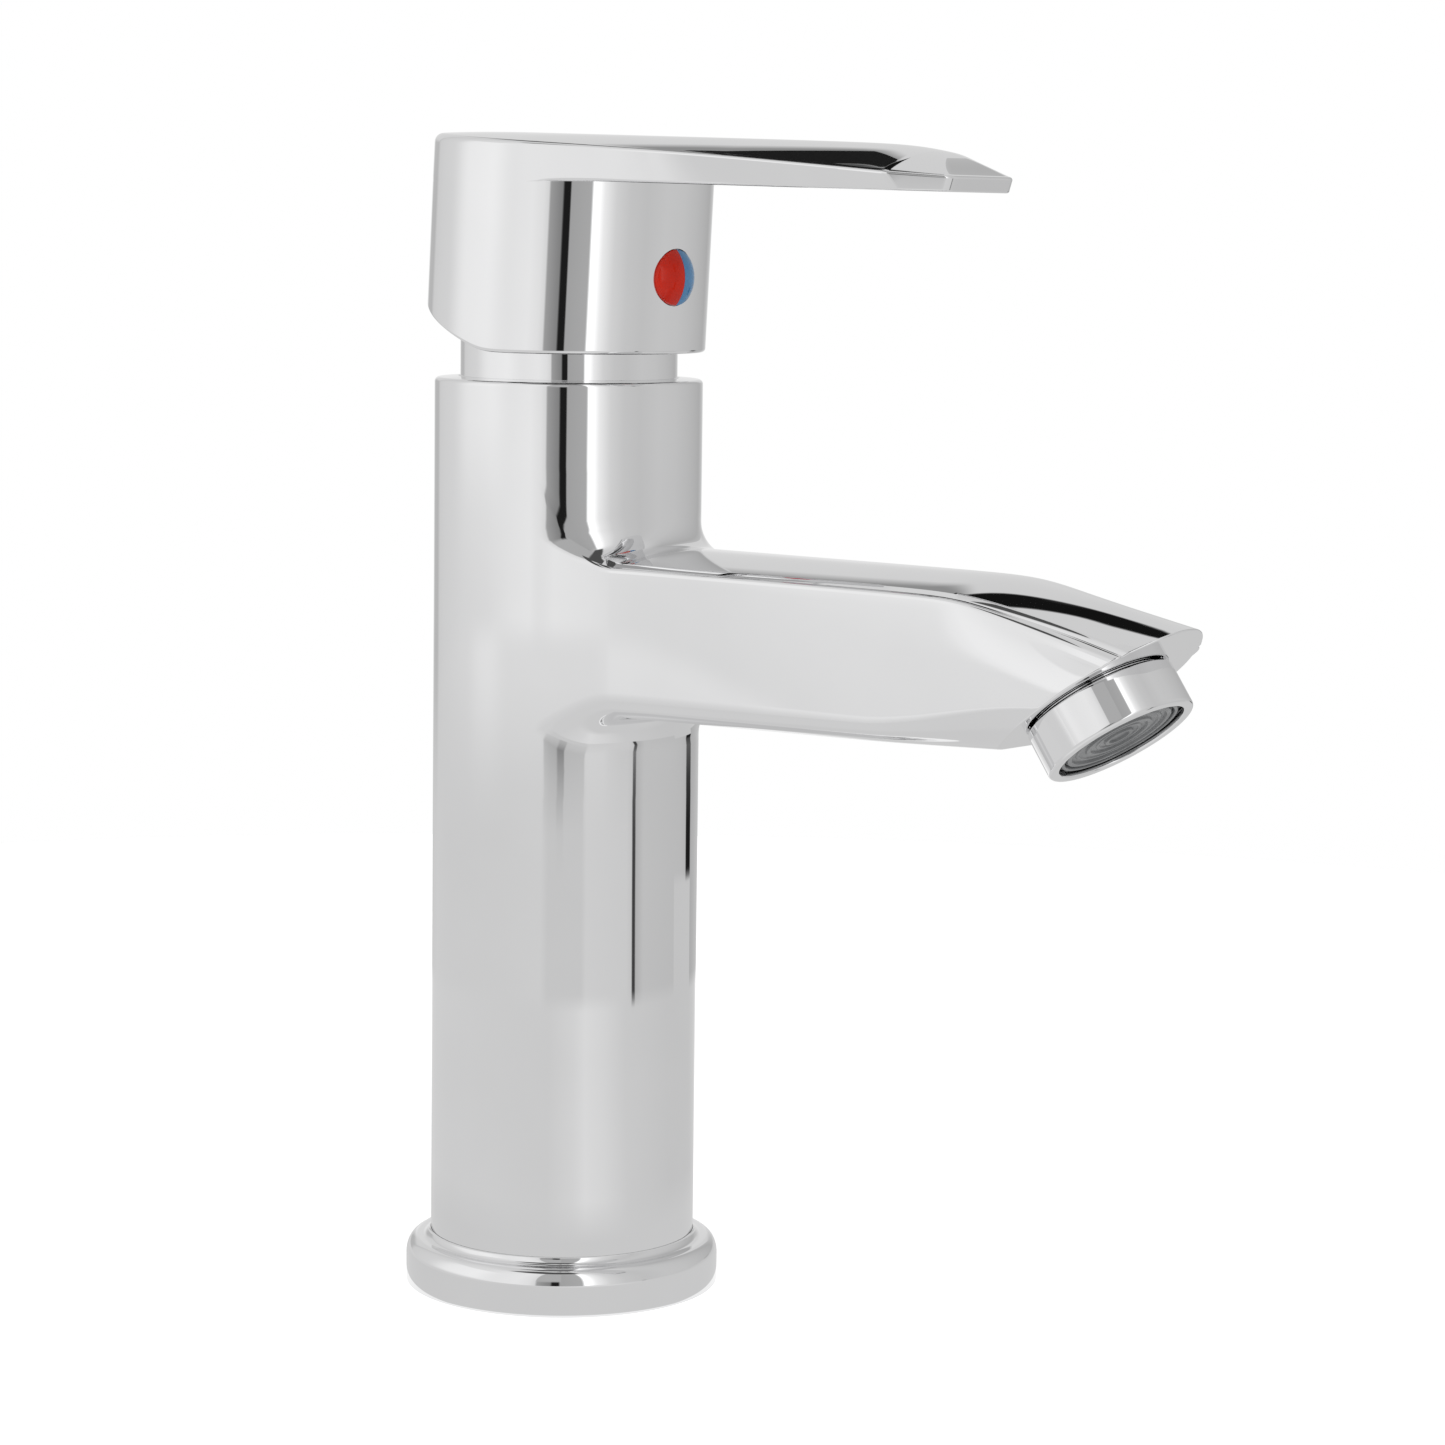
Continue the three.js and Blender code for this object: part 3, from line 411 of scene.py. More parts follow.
def spout_half_section(x):
    """One side of the section at x, from the bottom's middle to the crown's, as (y, z)."""
    tip = smoothstep(x, SPOUT_TIP_START, SPOUT_TIP_END)
    half = spout_half_width(x)
    crown = SPOUT_CROWN - SPOUT_CROWN_FALL * soft_excess(x, SPOUT_CROWN_END_X, SPOUT_BEND)
    edge = SPOUT_EDGE - SPOUT_EDGE_FALL * soft_excess(x, SPOUT_EDGE_END_X, SPOUT_BEND)
    bottom = SPOUT_BOTTOM + SPOUT_BOTTOM_RISE * (x - COLUMN_RADIUS)
    corner = lerp(*SPOUT_BOTTOM_CORNERS, smoothstep(x, *SPOUT_CORNER_SPAN))
    points = [((half - corner) * share, bottom) for share in steps(SPOUT_FLAT)[:-1]]
    for angle in steps(SPOUT_CORNER, 0, math.pi / 2):
        y = half - corner + corner * math.sin(angle)
        points.append((y, bottom + corner - corner * math.cos(angle)))
    top_corner = lerp(*SPOUT_TOP_CORNERS, tip)
    side_top = edge - top_corner
    draft = SPOUT_DRAFT * smoothstep(x, *SPOUT_DRAFT_SPAN) * (side_top - bottom - corner)
    narrowing = SPOUT_TIP_NARROWING * tip
    lean_start = max(edge - SPOUT_NARROWING_HEIGHT, bottom + corner)
    for share in steps(SPOUT_SIDE)[1:]:
        z = lerp(bottom + corner, side_top, share)
        lean = clamp((z - lean_start) / (side_top - lean_start), 0, 1)
        points.append((half - draft * share - narrowing * lean**2, z))
    for angle in steps(SPOUT_CORNER, 0, SPOUT_TOP_TURN)[1:]:
        y = half - draft - narrowing - top_corner * (1 - math.cos(angle))
        points.append((y, side_top + top_corner * math.sin(angle)))
    arch_half = lerp(half, SPOUT_TIP_ARCH, tip)
    start = points[-1][0]
    for share in steps(SPOUT_FLAT)[1:]:
        y = lerp(start, 0, share)
        across = y / arch_half
        fall = 1 - soft_excess(1 - across**2, 0, SPOUT_ARCH_BEND * tip)
        points.append((y, crown - (crown - edge) * fall))
    return points


def spout_point(index, x):
    """A point of the spout's surface, with the fillet where the spout meets the column."""
    section = spout_half_section(x)
    y, z = section[index]
    rise = fillet_rise(math.hypot(x, y) - COLUMN_RADIUS)
    above = index > SPOUT_FLAT + SPOUT_CORNER + SPOUT_SIDE / 2
    return Vector((x, y, z + rise if above else z - rise))


def spout_x_at(index, distance):
    """The x at which the surface's line of that index is at a distance from the column's axis."""
    low, high = 0.0, distance
    for _ in range(40):
        x = (low + high) / 2
        if math.hypot(x, spout_half_section(x)[index][0]) < distance:
            low = x
        else:
            high = x
    return (low + high) / 2


def seat_x(z):
    """Along the slanted seat plane, x as a function of height."""
    return SEAT.x + (z - SEAT.z) / math.tan(SEAT_TILT)


def seat_crossing(index):
    """The x at which the surface's line of that index meets the seat plane."""
    x = SEAT.x
    for _ in range(30):
        x = seat_x(spout_point(index, x).z)
    return x


def mirrored(half):
    """A full ring from the half whose first and last points lie on the plane y = 0."""
    return half + [Vector((p.x, -p.y, p.z)) for p in half[-2:0:-1]]


def inward(ring, normal):
    """For each point of a closed ring in a plane, the unit direction towards its inside."""
    directions = []
    for i, point in enumerate(ring):
        along = ring[(i + 1) % len(ring)] - ring[i - 1]
        directions.append(normal.cross(along).normalized())
    middle = sum(ring, Vector()) / len(ring)
    if directions[0].dot(middle - ring[0]) < 0:
        directions = [-d for d in directions]
    return directions


def spout_rings():
    """The spout's surface as rings, from the column to the lip's flat face."""
    count = 2 * SPOUT_FLAT + 2 * SPOUT_CORNER + SPOUT_SIDE + 1
    halves = []
    start_distance = COLUMN_RADIUS + SPOUT_FILLET
    distances = [
        COLUMN_RADIUS + SPOUT_FILLET * (1 - math.cos(angle))
        for angle in steps(SPOUT_FILLET_STEPS, 0, math.pi / 2)
    ]
    distances += steps(SPOUT_LENGTH_STEPS, start_distance, SPOUT_RINGS_END)[1:]
    last_xs = []
    for distance in distances:
        last_xs = [spout_x_at(i, distance) for i in range(count)]
        halves.append([spout_point(i, x) for i, x in enumerate(last_xs)])
    crossings = [seat_crossing(i) for i in range(count)]
    rims = [spout_point(i, x) for i, x in enumerate(crossings)]
    retreats = []
    for i, x in enumerate(crossings):
        along = (rims[i] - spout_point(i, x - LIP_ROUNDING / 2)).normalized()
        retreats.append(x - LIP_ROUNDING * along.x)
    for share in steps(SPOUT_TIP_STEPS)[1:]:
        halves.append([
            spout_point(i, lerp(start, end, share))
            for i, (start, end) in enumerate(zip(last_xs, retreats))
        ])
    rings = [mirrored(half) for half in halves]
    rim = mirrored(rims)
    normal = Vector((-math.sin(SEAT_TILT), 0, math.cos(SEAT_TILT)))
    inside = inward(rim, normal)
    side = rings[-1]
    for angle in steps(ARC, 0, math.pi / 2)[1:]:
        rings.append([
            corner + (back - corner) * (1 - math.sin(angle))
            + way * LIP_ROUNDING * (1 - math.cos(angle))
            for corner, back, way in zip(rim, side, inside)
        ])
    return rings


def seat_place():
    """Puts a piece made on the Z axis on the slanted seat, with the seat's middle as its origin."""
    return Matrix.Translation(SEAT) @ Matrix.Rotation(-SEAT_TILT, 4, "Y")


def seat_rings(rim):
    """Rings from the lip's flat face to the threaded neck and up the outlet, to its end."""
    place = seat_place()
    back = place.inverted()
    rings = []
    for radius, height in (
        (SEAT_GROOVE_RADIUS, 0),
        (SEAT_GROOVE_RADIUS, SEAT_GROOVE_DEPTH),
        (THREAD_RADIUS, SEAT_GROOVE_DEPTH),
        (THREAD_RADIUS, -THREAD_LENGTH),
        (OUTLET_RADIUS, -THREAD_LENGTH),
        (OUTLET_RADIUS, OUTLET_DEPTH),
    ):
        ring = []
        for point in rim:
            local = back @ point
            flat = Vector((local.x, local.y, 0)).normalized() * radius
            ring.append(place @ Vector((flat.x, flat.y, height)))
        rings.append(ring)
    return rings


# -------- tap body


def on_column(angle, z):
    return Vector((COLUMN_RADIUS * math.cos(angle), COLUMN_RADIUS * math.sin(angle), z))


def root_patch_ring():
    """The border of the column's patch around the spout's root, point for point with a ring."""
    widest, low, high = ROOT_PATCH
    across = SPOUT_FLAT + SPOUT_CORNER // 2
    upward = SPOUT_CORNER + SPOUT_SIDE
    half = [(angle, low) for angle in steps(across, 0, widest)]
    half += [(widest, z) for z in steps(upward, low, high)[1:]]
    half += [(angle, high) for angle in steps(across, widest, 0)[1:]]
    return half + [(-angle, z) for angle, z in half[-2:0:-1]]


def add_root_patch(bm, root):
    """The column's surface between the spout's root ring and the patch's border."""
    border = root_patch_ring()
    inner = [(math.atan2(point.y, point.x), point.z) for point in root]
    rings = []
    for share in steps(ROOT_PATCH_STEPS):
        rings.append([
            on_column(lerp(a[0], b[0], share), lerp(a[1], b[1], share))
            for a, b in zip(inner, border)
        ])
    add_rings(bm, rings)


def add_column_wall(bm):
    """The rest of the column's surface, on a grid of angles and heights that fits the patch."""
    widest, low, high = ROOT_PATCH
    across = 2 * SPOUT_FLAT + SPOUT_CORNER
    angles = steps(across, -widest, widest)
    angles += steps(COLUMN_BACK_STEPS, widest, 2 * math.pi - widest)[1:]
    lower = steps(COLUMN_LOW_STEPS, FOOT_HEIGHT, low)
    middle = steps(SPOUT_CORNER + SPOUT_SIDE, low, high)[1:]
    heights = lower + middle + [COLUMN_WALL_TOP]
    patch_levels = range(len(lower) - 1, len(lower) + len(middle) - 1)
    grid = [[bm.verts.new(on_column(angle, z)) for angle in angles] for z in heights]
    for level in range(len(heights) - 1):
        for i in range(len(angles) - 1):
            if level in patch_levels and i < across:
                continue
            lower_pair = grid[level][i:i + 2]
            upper_pair = grid[level + 1][i:i + 2]
            bm.faces.new(lower_pair + upper_pair[::-1])
    return angles[:-1]


def add_column_ends(bm, angles):
    """The rim with the cartridge pocket at the top, and the foot at the bottom."""
    top = COLUMN_TOP
    rim = rounded((
        (COLUMN_RADIUS, COLUMN_WALL_TOP, 0),
        (COLUMN_RADIUS, top, RIM_ROUNDING),
        (POCKET_RADIUS, top + RIM_RISE, RIM_INNER_ROUNDING),
        (POCKET_RADIUS, POCKET_FLOOR, 0),
        (0, POCKET_FLOOR, 0),
    ))
    add_rings(bm, rings_at(angles, rim))
    inner, outer, depth = GASKET_GROOVE
    foot = (
        (COLUMN_RADIUS, FOOT_HEIGHT),
        (FOOT_RADIUS, FOOT_HEIGHT),
        (FOOT_RADIUS, 0),
        (outer, 0),
        (outer, depth),
        (inner, depth),
        (inner, 0),
        (0, 0),
    )
    add_rings(bm, rings_at(angles, foot))


def make_body(material):
    bm = bmesh.new()
    rings = spout_rings()
    add_rings(bm, rings + seat_rings(rings[-1]), cap_end=True)
    add_root_patch(bm, rings[0])
    add_column_ends(bm, add_column_wall(bm))
    piece = finish_mesh("tap_body", bm, material)
    for x, y, radius, depth in SOCKETS:
        cut_away(piece, solid_disc(radius, -1, depth, x, y))
    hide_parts("faucet_body")
    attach(piece, "body")


def make_base_ring(material):
    depth, height = BASE_SHOULDER
    foot_radius = FOOT_RADIUS + BASE_GAP
    foot_height = FOOT_HEIGHT + BASE_GAP
    edge = BASE_LOWER_EDGE
    fillet = BASE_FILLET
    down = -math.pi / 2
    outline = arc(BASE_RADIUS - edge, edge, edge, edge, steps(ARC, down, 0))
    turns = steps(3 * ARC, 0, math.pi / 2)
    outline += arc(BASE_RADIUS - depth, BASE_HEIGHT - height, depth, height, turns)
    turns = steps(2 * ARC, down, -math.pi)
    outline += arc(BASE_INNER + fillet, BASE_HEIGHT + fillet, fillet, fillet, turns)
    for corner in ((BASE_INNER, foot_height), (foot_radius, foot_height), (foot_radius, 0)):
        outline.append(Vector(corner))
    outline.append(outline[0])
    piece = turned_piece("base_flange", outline, material)
    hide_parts("base_ring")
    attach(piece, "body")


def make_collar(material):
    inner = COLLAR_RADIUS - COLLAR_WALL
    low, high = COLLAR_PLATE
    outline = rounded((
        (inner, COLLAR_LOW, 0),
        (COLLAR_RADIUS, COLLAR_LOW, 0.2),
        (COLLAR_RADIUS, COLLAR_TOP, 0.4),
        (inner, COLLAR_TOP, 0.2),
        (inner, high, 0),
        (COLLAR_OPENING, high, 0.3),
        (COLLAR_OPENING, low, 0),
        (inner, low, 0),
        (inner, COLLAR_LOW, 0),
    ))
    piece = turned_piece("collar", outline, material)
    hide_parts("cartridge_collar")
    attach(piece, "body")


# -------- handle


def skirt_centre_x(z):
    return SKIRT_CENTRE_X + SKIRT_LEAN * (z - SKIRT_BOTTOM)


def skirt_point(angle, z, inset=0.0):
    radius = SKIRT_RADIUS - inset
    return Vector((skirt_centre_x(z) + radius * math.cos(angle), radius * math.sin(angle), z))


def skirt_bottom_z(angle):
    """The bottom edge's height: level in front, rising behind so that the lever can tilt."""
    behind = BACK_CUT_X - SKIRT_CENTRE_X - SKIRT_RADIUS * math.cos(angle)
    rise = BACK_CUT * soft_excess(behind, 0, BACK_CUT_BLEND)
    return SKIRT_BOTTOM + rise / (1 + BACK_CUT * SKIRT_LEAN)


def lever_crown_z(x):
    """Height of the top's middle line, which falls gently and then bends down to the end."""
    bend = LEVER_CREST_FALL * soft_excess(x, LEVER_CREST_X, LEVER_CREST_BLEND)
    return LEVER_CROWN - LEVER_CROWN_FALL * (x - LEVER_CROWN_X) - bend


def lever_edge_z(x):
    """Height of the top edges."""
    ahead = x - LEVER_EDGE_X
    return LEVER_EDGE - LEVER_EDGE_FALL * ahead - LEVER_EDGE_CURVE * ahead**2


def lever_underside_z(x):
    return LEVER_UNDERSIDE - LEVER_UNDERSIDE_FALL * max(x, 0)


def front_outline(z, half_width, end_x):
    """The lever's outline ahead of the skirt at height z, from the -Y flare round to the +Y one."""
    sine = math.sin(LEVER_FLARE_ANGLE)
    flare_radius = (SKIRT_RADIUS * sine - half_width) / (1 - sine)
    centre_x = skirt_centre_x(z) + (SKIRT_RADIUS + flare_radius) * math.cos(LEVER_FLARE_ANGLE)
    corner_x = end_x - (half_width - LEVER_END_HALF_WIDTH) / LEVER_CORNER_SLOPE
    points = []
    for angle in steps(FLARE_STEPS, math.pi / 2 - LEVER_FLARE_ANGLE, 0)[:-1]:
        x = centre_x - flare_radius * math.sin(angle)
        points.append(Vector((x, flare_radius * math.cos(angle) - half_width - flare_radius)))
    end = rounded((
        (centre_x, -half_width, 0),
        (corner_x, -half_width, LEVER_CORNER_ROUNDING),
        (end_x, -LEVER_END_HALF_WIDTH, LEVER_CORNER_ROUNDING),
        (end_x, 0, 0),
    ))
    side_start, side_end = end[0], end[1]
    points += [side_start.lerp(side_end, share) for share in steps(SIDE_STEPS)[:-1]]
    points += end[1:-1]
    last = end[-2]
    points += [last.lerp(end[-1], share) for share in steps(END_STEPS)[1:]]
    return points + [Vector((p.x, -p.y)) for p in points[-2:0:-1]]


def back_angles():
    """Angles around the skirt's back, from the +Y flare to just before the -Y flare."""
    return steps(BACK_STEPS, LEVER_FLARE_ANGLE, 2 * math.pi - LEVER_FLARE_ANGLE)[:-1]


FRONT_COUNT = len(front_outline(LEVER_UNDERSIDE, LEVER_HALF_WIDTH, LEVER_END_X))


def front_angles():
    """Angles around the skirt's front, one for each point of the lever's outline there."""
    return steps(FRONT_COUNT, -LEVER_FLARE_ANGLE, LEVER_FLARE_ANGLE)[:-1]


def leverness():
    """0 behind the flares and 1 along the lever, with a short ramp where the flare begins."""
    front = [clamp(min(i, FRONT_COUNT - i) / FLARE_RAMP, 0, 1) for i in range(FRONT_COUNT)]
    return [0.0] * BACK_STEPS + front


def plan_outline(z, half_width, end_x):
    """The handle's whole outline in plan at height z, above the lever's underside."""
    back = [skirt_point(angle, z).to_2d() for angle in back_angles()]
    return back + front_outline(z, half_width, end_x)


def plan_inward(outline):
    """For each point of an outline in plan, the unit direction towards its inside."""
    ring = [Vector((p.x, p.y, 0)) for p in outline]
    return [way.to_2d() for way in inward(ring, Vector((0, 0, 1)))]


def skirt_rings():
    """From the middle of the bottom edge, round it, and up to the lever's underside."""
    angles = back_angles() + front_angles()
    rings = []
    for turn in steps(ARC, 0, math.pi / 2):
        inset = SKIRT_EDGE_ROUNDING * (1 - math.sin(turn))
        rise = SKIRT_EDGE_ROUNDING * (1 - math.cos(turn))
        rings.append([skirt_point(a, skirt_bottom_z(a) + rise, inset) for a in angles])
    for share in steps(SKIRT_STEPS)[1:]:
        ring = []
        for angle, lever in zip(angles, leverness()):
            underside = lever_underside_z(SKIRT_RADIUS * math.cos(angle))
            top = lerp(LEVER_UNDERSIDE - SKIRT_WALL_MARGIN, underside, lever)
            low = skirt_bottom_z(angle) + SKIRT_EDGE_ROUNDING
            ring.append(skirt_point(angle, lerp(low, top, share)))
        rings.append(ring)
    return rings


def underside_rings(outline):
    """The lever's underside edge, rounded. Behind the flares the rings stay on the skirt."""
    ways = plan_inward(outline)
    rings = []
    for turn in steps(ARC, 0, math.pi / 2):
        ring = []
        for point, way, lever in zip(outline, ways, leverness()):
            inset = LEVER_LOW_ROUNDING * (1 - math.sin(turn)) * lever
            rise = LEVER_LOW_ROUNDING * (1 - math.cos(turn))
            on_skirt = LEVER_UNDERSIDE - UNDERSIDE_EDGE_MARGIN + turn / 2
            z = lerp(on_skirt, lever_underside_z(point.x) + rise, lever)
            place = point + way * inset
            ring.append(Vector((place.x, place.y, z)))
        rings.append(ring)
    return rings


def top_rounding(x):
    return lerp(*LEVER_TOP_ROUNDING, smoothstep(x, *LEVER_TOP_ROUNDING_SPAN))


def top_rings(outline):
    """The rounded top edge, and the crowned top down to the line along its middle."""
    ways = plan_inward(outline)
    rings = []
    for turn in steps(ARC, 0, math.pi / 2):
        ring = []
        for point, way in zip(outline, ways):
            rounding = top_rounding(point.x)
            place = point + way * rounding * (1 - math.cos(turn))
            z = lever_edge_z(point.x) - rounding * (1 - math.sin(turn))
            ring.append(Vector((place.x, place.y, z)))
        rings.append(ring)
    edge = rings[-1]
    for share in steps(CROWN_STEPS, 1, 0)[1:]:
        ring = []
        for point in edge:
            spine_x = clamp(point.x, 0, LEVER_END_X - LEVER_END_HALF_WIDTH)
            x = lerp(spine_x, point.x, share)
            z = point.z + (lever_crown_z(x) - point.z) * (1 - share**2)
            ring.append(Vector((x, point.y * share, z)))
        rings.append(ring)
    return rings


def handle_hollow():
    """What is cut out of the handle: the space round its boss."""
    angles = steps(AROUND, 0, 2 * math.pi)[:-1]
    rings = []
    for height in (HOLLOW_LOW, HANDLE_CEILING):
        rings.append([skirt_point(angle, height, HANDLE_WALL) for angle in angles])
    rings += rings_at(angles, ((BOSS_RADIUS, HANDLE_CEILING), (BOSS_RADIUS, BOSS_LOW)))
    bm = bmesh.new()
    add_rings(bm, rings, cap_start=True, cap_end=True)
    return bm


def stem_socket():
    """What is cut out of the boss: the square socket for the stem."""
    half = STEM_SOCKET_HALF
    corners = ((half, half), (-half, half), (-half, -half), (half, -half))
    bm = bmesh.new()
    rings = [[Vector((x, y, z)) for x, y in corners] for z in (BOSS_LOW - 1, STEM_SOCKET_TOP)]
    add_rings(bm, rings, cap_start=True, cap_end=True)
    return bm


def along_x(height):
    """Turns a piece made on the Z axis so that its axis points along +X at a height."""
    return Matrix.Translation((0, 0, height)) @ Matrix.Rotation(math.pi / 2, 4, "Y")


def make_handle(material):
    middle_z = lever_edge_z(0)
    low = plan_outline(LEVER_UNDERSIDE, LEVER_LOW_HALF_WIDTH, LEVER_LOW_END_X)
    top = plan_outline(middle_z, LEVER_HALF_WIDTH, LEVER_END_X)
    bm = bmesh.new()
    add_rings(bm, skirt_rings() + underside_rings(low) + top_rings(top), cap_start=True)
    piece = finish_mesh("lever_handle", bm, material)
    cut_away(piece, handle_hollow())
    cut_away(piece, stem_socket())
    recess = solid_disc(INDEX_RECESS_RADIUS, INDEX_FLOOR_X, SKIRT_RADIUS + RECESS_REACH, count=96)
    recess.transform(along_x(INDEX_Z))
    cut_away(piece, recess)
    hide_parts("handle")
    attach(piece, "lever")


def make_index_half(name, side, material, node):
    """Half of the domed button: side is 1 for the half towards +Y and -1 for the other."""
    dome_radius = (INDEX_RADIUS**2 + INDEX_DOME_RISE**2) / (2 * INDEX_DOME_RISE)
    dome_centre = INDEX_RIM_X + INDEX_DOME_RISE - dome_radius
    low = INDEX_FLOOR_X + INDEX_LIFT
    outline = [Vector((0, low)), Vector((INDEX_RADIUS, low))]
    outline.append(Vector((INDEX_RADIUS, INDEX_RIM_X - INDEX_RIM_EDGE)))
    for share in steps(INDEX_DOME_STEPS, INDEX_DOME_SHARE, 0):
        radius = INDEX_RADIUS * share
        outline.append(Vector((radius, dome_centre + math.sqrt(dome_radius**2 - radius**2))))
    bm = bmesh.new()
    columns = []
    for angle in steps(INDEX_HALF_TURN_STEPS, 0, math.pi):
        columns.append([
            bm.verts.new((r * math.cos(angle), (r * math.sin(angle) + INDEX_SEAM) * side, h))
            for r, h in outline
        ])
    for near, far in zip(columns, columns[1:]):
        for i in range(len(outline) - 1):
            bm.faces.new((near[i], near[i + 1], far[i + 1], far[i]))
    bm.faces.new(columns[0] + columns[-1][-2:0:-1])
    bm.transform(along_x(INDEX_Z))
    piece = finish_mesh(name, bm, material)
    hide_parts(node)
    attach(piece, "lever")


# -------- aerator


def make_aerator_housing(material):
    """The chrome sleeve, with its lip turned in below."""
    bore = SEAT_GROOVE_RADIUS
    outline = rounded((
        (bore, -AERATOR_JOINT, 0),
        (AERATOR_RADIUS, -AERATOR_JOINT, 0.25),
        (AERATOR_RADIUS, -AERATOR_LENGTH, 0.6),
        (AERATOR_LIP, -AERATOR_LENGTH, 0.35),
        (AERATOR_LIP, -6.9, 0),
        (bore, -6.2, 0),
        (bore, -AERATOR_JOINT, 0),
    ))
    piece = turned_piece("aerator_sleeve", outline, material, seat_place())
    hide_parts("aerator_housing")
    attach(piece, "body")


def make_aerator_core(material):
    """The insert's barrel, with the rim that rests in the sleeve."""
    outline = rounded((
        (7.4, 4, 0),
        (7.4, -5.5, 0),
        (9.1, -5.7, 0),
        (9.1, -6.9, 0.2),
        (9.7, -6.9, 0.2),
        (9.7, -5.9, 0),
        (10.9, -5.9, 0),
        (10.9, -5.4, 0),
        (8.2, -5.2, 0),
        (8.2, 4, 0),
        (7.4, 4, 0),
    ))
    piece = turned_piece("aerator_barrel", outline, material, seat_place())
    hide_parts("aerator_core")
    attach(piece, "body")


def make_aerator_rings(material):
    """The insert's plate, with raised rings."""
    face = PLATE_FACE
    back = face + PLATE_THICKNESS
    corners = [(0, face, 0)]
    for inner, outer, rise in PLATE_RIDGES:
        corners += [
            (inner - RIDGE_SLOPE, face, 0),
            (inner, face - rise, RIDGE_ROUNDING),
            (outer, face - rise, RIDGE_ROUNDING),
            (outer + RIDGE_SLOPE, face, 0),
        ]
    corners += [(PLATE_RADIUS, face, 0.1), (PLATE_RADIUS, back, 0), (0, back, 0)]
    piece = turned_piece("aerator_grille", rounded(corners), material, seat_place())
    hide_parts("aerator_diffuser")
    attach(piece, "body")


# -------- materials


class Shader:
    """A material with its Principled shader, and short ways to add the nodes that vary it."""

    def __init__(self, name, color, roughness, metallic=0.0):
        self.material = bpy.data.materials.new(name)
        self.material.use_nodes = True
        self.nodes = self.material.node_tree.nodes
        self.links = self.material.node_tree.links
        self.principled = self.nodes["Principled BSDF"]
        self.set("Base Color", (*color, 1))
        self.set("Roughness", roughness)
        self.set("Metallic", metallic)
        self.place = self.nodes.new("ShaderNodeTexCoord").outputs["Object"]

    def set(self, socket, value):
        self.principled.inputs[socket].default_value = value

    def noise(self, scale, detail=3.0):
        node = self.nodes.new("ShaderNodeTexNoise")
        node.inputs["Scale"].default_value = scale
        node.inputs["Detail"].default_value = detail
        self.links.new(self.place, node.inputs["Vector"])
        return node.outputs["Fac"]

    def spread(self, value, low, high):
        """Stretches a noise's middle range over low to high."""
        node = self.nodes.new("ShaderNodeMapRange")
        node.inputs["From Min"].default_value = 0.3
        node.inputs["From Max"].default_value = 0.7
        node.inputs["To Min"].default_value = low
        node.inputs["To Max"].default_value = high
        self.links.new(value, node.inputs["Value"])
        return node.outputs["Result"]

    def vary_roughness(self, scale, low, high):
        self.links.new(self.spread(self.noise(scale), low, high), self.principled.inputs["Roughness"])

    def vary_color(self, scale, dark, light):
        node = self.nodes.new("ShaderNodeMix")
        node.data_type = "RGBA"
        colors = [socket for socket in node.inputs if socket.type == "RGBA"]
        colors[0].default_value = (*dark, 1)
        colors[1].default_value = (*light, 1)
        self.links.new(self.spread(self.noise(scale), 0, 1), node.inputs["Factor"])
        result = [socket for socket in node.outputs if socket.type == "RGBA"][0]
        self.links.new(result, self.principled.inputs["Base Color"])

    def bump(self, scale, height, detail=3.0):
        """Bumps about that many metres high."""
        node = self.nodes.new("ShaderNodeBump")
        node.inputs["Strength"].default_value = 1.0
        node.inputs["Distance"].default_value = height
        self.links.new(self.noise(scale, detail), node.inputs["Height"])
        self.links.new(node.outputs["Normal"], self.principled.inputs["Normal"])


def chrome():
    shader = Shader("chrome", (0.84, 0.84, 0.845), 0.03, 1.0)
    shader.vary_color(35, (0.83, 0.83, 0.835), (0.86, 0.86, 0.865))
    shader.vary_roughness(60, 0.015, 0.04)
    shader.bump(90, 0.0000012, 1.0)
    return shader.material


def brass():
    shader = Shader("brass", (0.6, 0.43, 0.16), 0.35, 1.0)
    shader.vary_color(120, (0.52, 0.36, 0.13), (0.66, 0.48, 0.2))
    shader.vary_roughness(200, 0.28, 0.45)
    shader.bump(900, 0.00001)
    return shader.material


def steel():
    shader = Shader("steel", (0.55, 0.56, 0.57), 0.28, 1.0)
    shader.vary_color(150, (0.5, 0.51, 0.52), (0.6, 0.61, 0.62))
    shader.vary_roughness(250, 0.22, 0.36)
    shader.bump(1200, 0.000006)
    return shader.material


def moulded(name, dark, light, low, high):
    """A moulded plastic, rubber or ceramic: slightly mottled, with a fine grain."""
    shader = Shader(name, light, high)
    shader.vary_color(140, dark, light)
    shader.vary_roughness(300, low, high)
    shader.bump(1500, 0.000008)
    return shader.material


def tinted(name, dark, light):
    """The button's glossy translucent acrylic, with its colour deeper in places."""
    shader = Shader(name, light, 0.12)
    shader.set("Coat Weight", 0.1)
    shader.set("Coat Roughness", 0.05)
    shader.set("Specular IOR Level", 0.25)
    shader.vary_color(160, dark, light)
    shader.vary_roughness(200, 0.06, 0.14)
    shader.bump(150, 0.000004, 1.0)
    return shader.material


def paint_cad_nodes(materials):
    """Gives each CAD node the finish of its slot in the record."""
    for row in frame["record"]["subparts"]:
        mesh = frame["nodes"][row["node"]].data
        mesh.materials.clear()
        mesh.materials.append(materials[row["material_slot"]])


# -------- studio

CAMERA_AZIMUTH = math.radians(42.122)
CAMERA_DISTANCE = 0.66565
CAMERA_HEIGHT = 0.17633
CAMERA_PITCH = math.radians(7.007)
CAMERA_YAW = math.radians(-2.232)
CAMERA_ROLL = math.radians(0.748)
CAMERA_LENS = 100.7

FLOOR_RADIUS = 0.5
FLOOR_HEIGHT = -0.0002
CARD_MIDDLE = Vector((-0.071, 0.12, 0.329))
CARD_DIRECTION = Vector((-0.584, 0.561, 0.587))
CARD_HALF_SIZE = (0.021, 0.028)


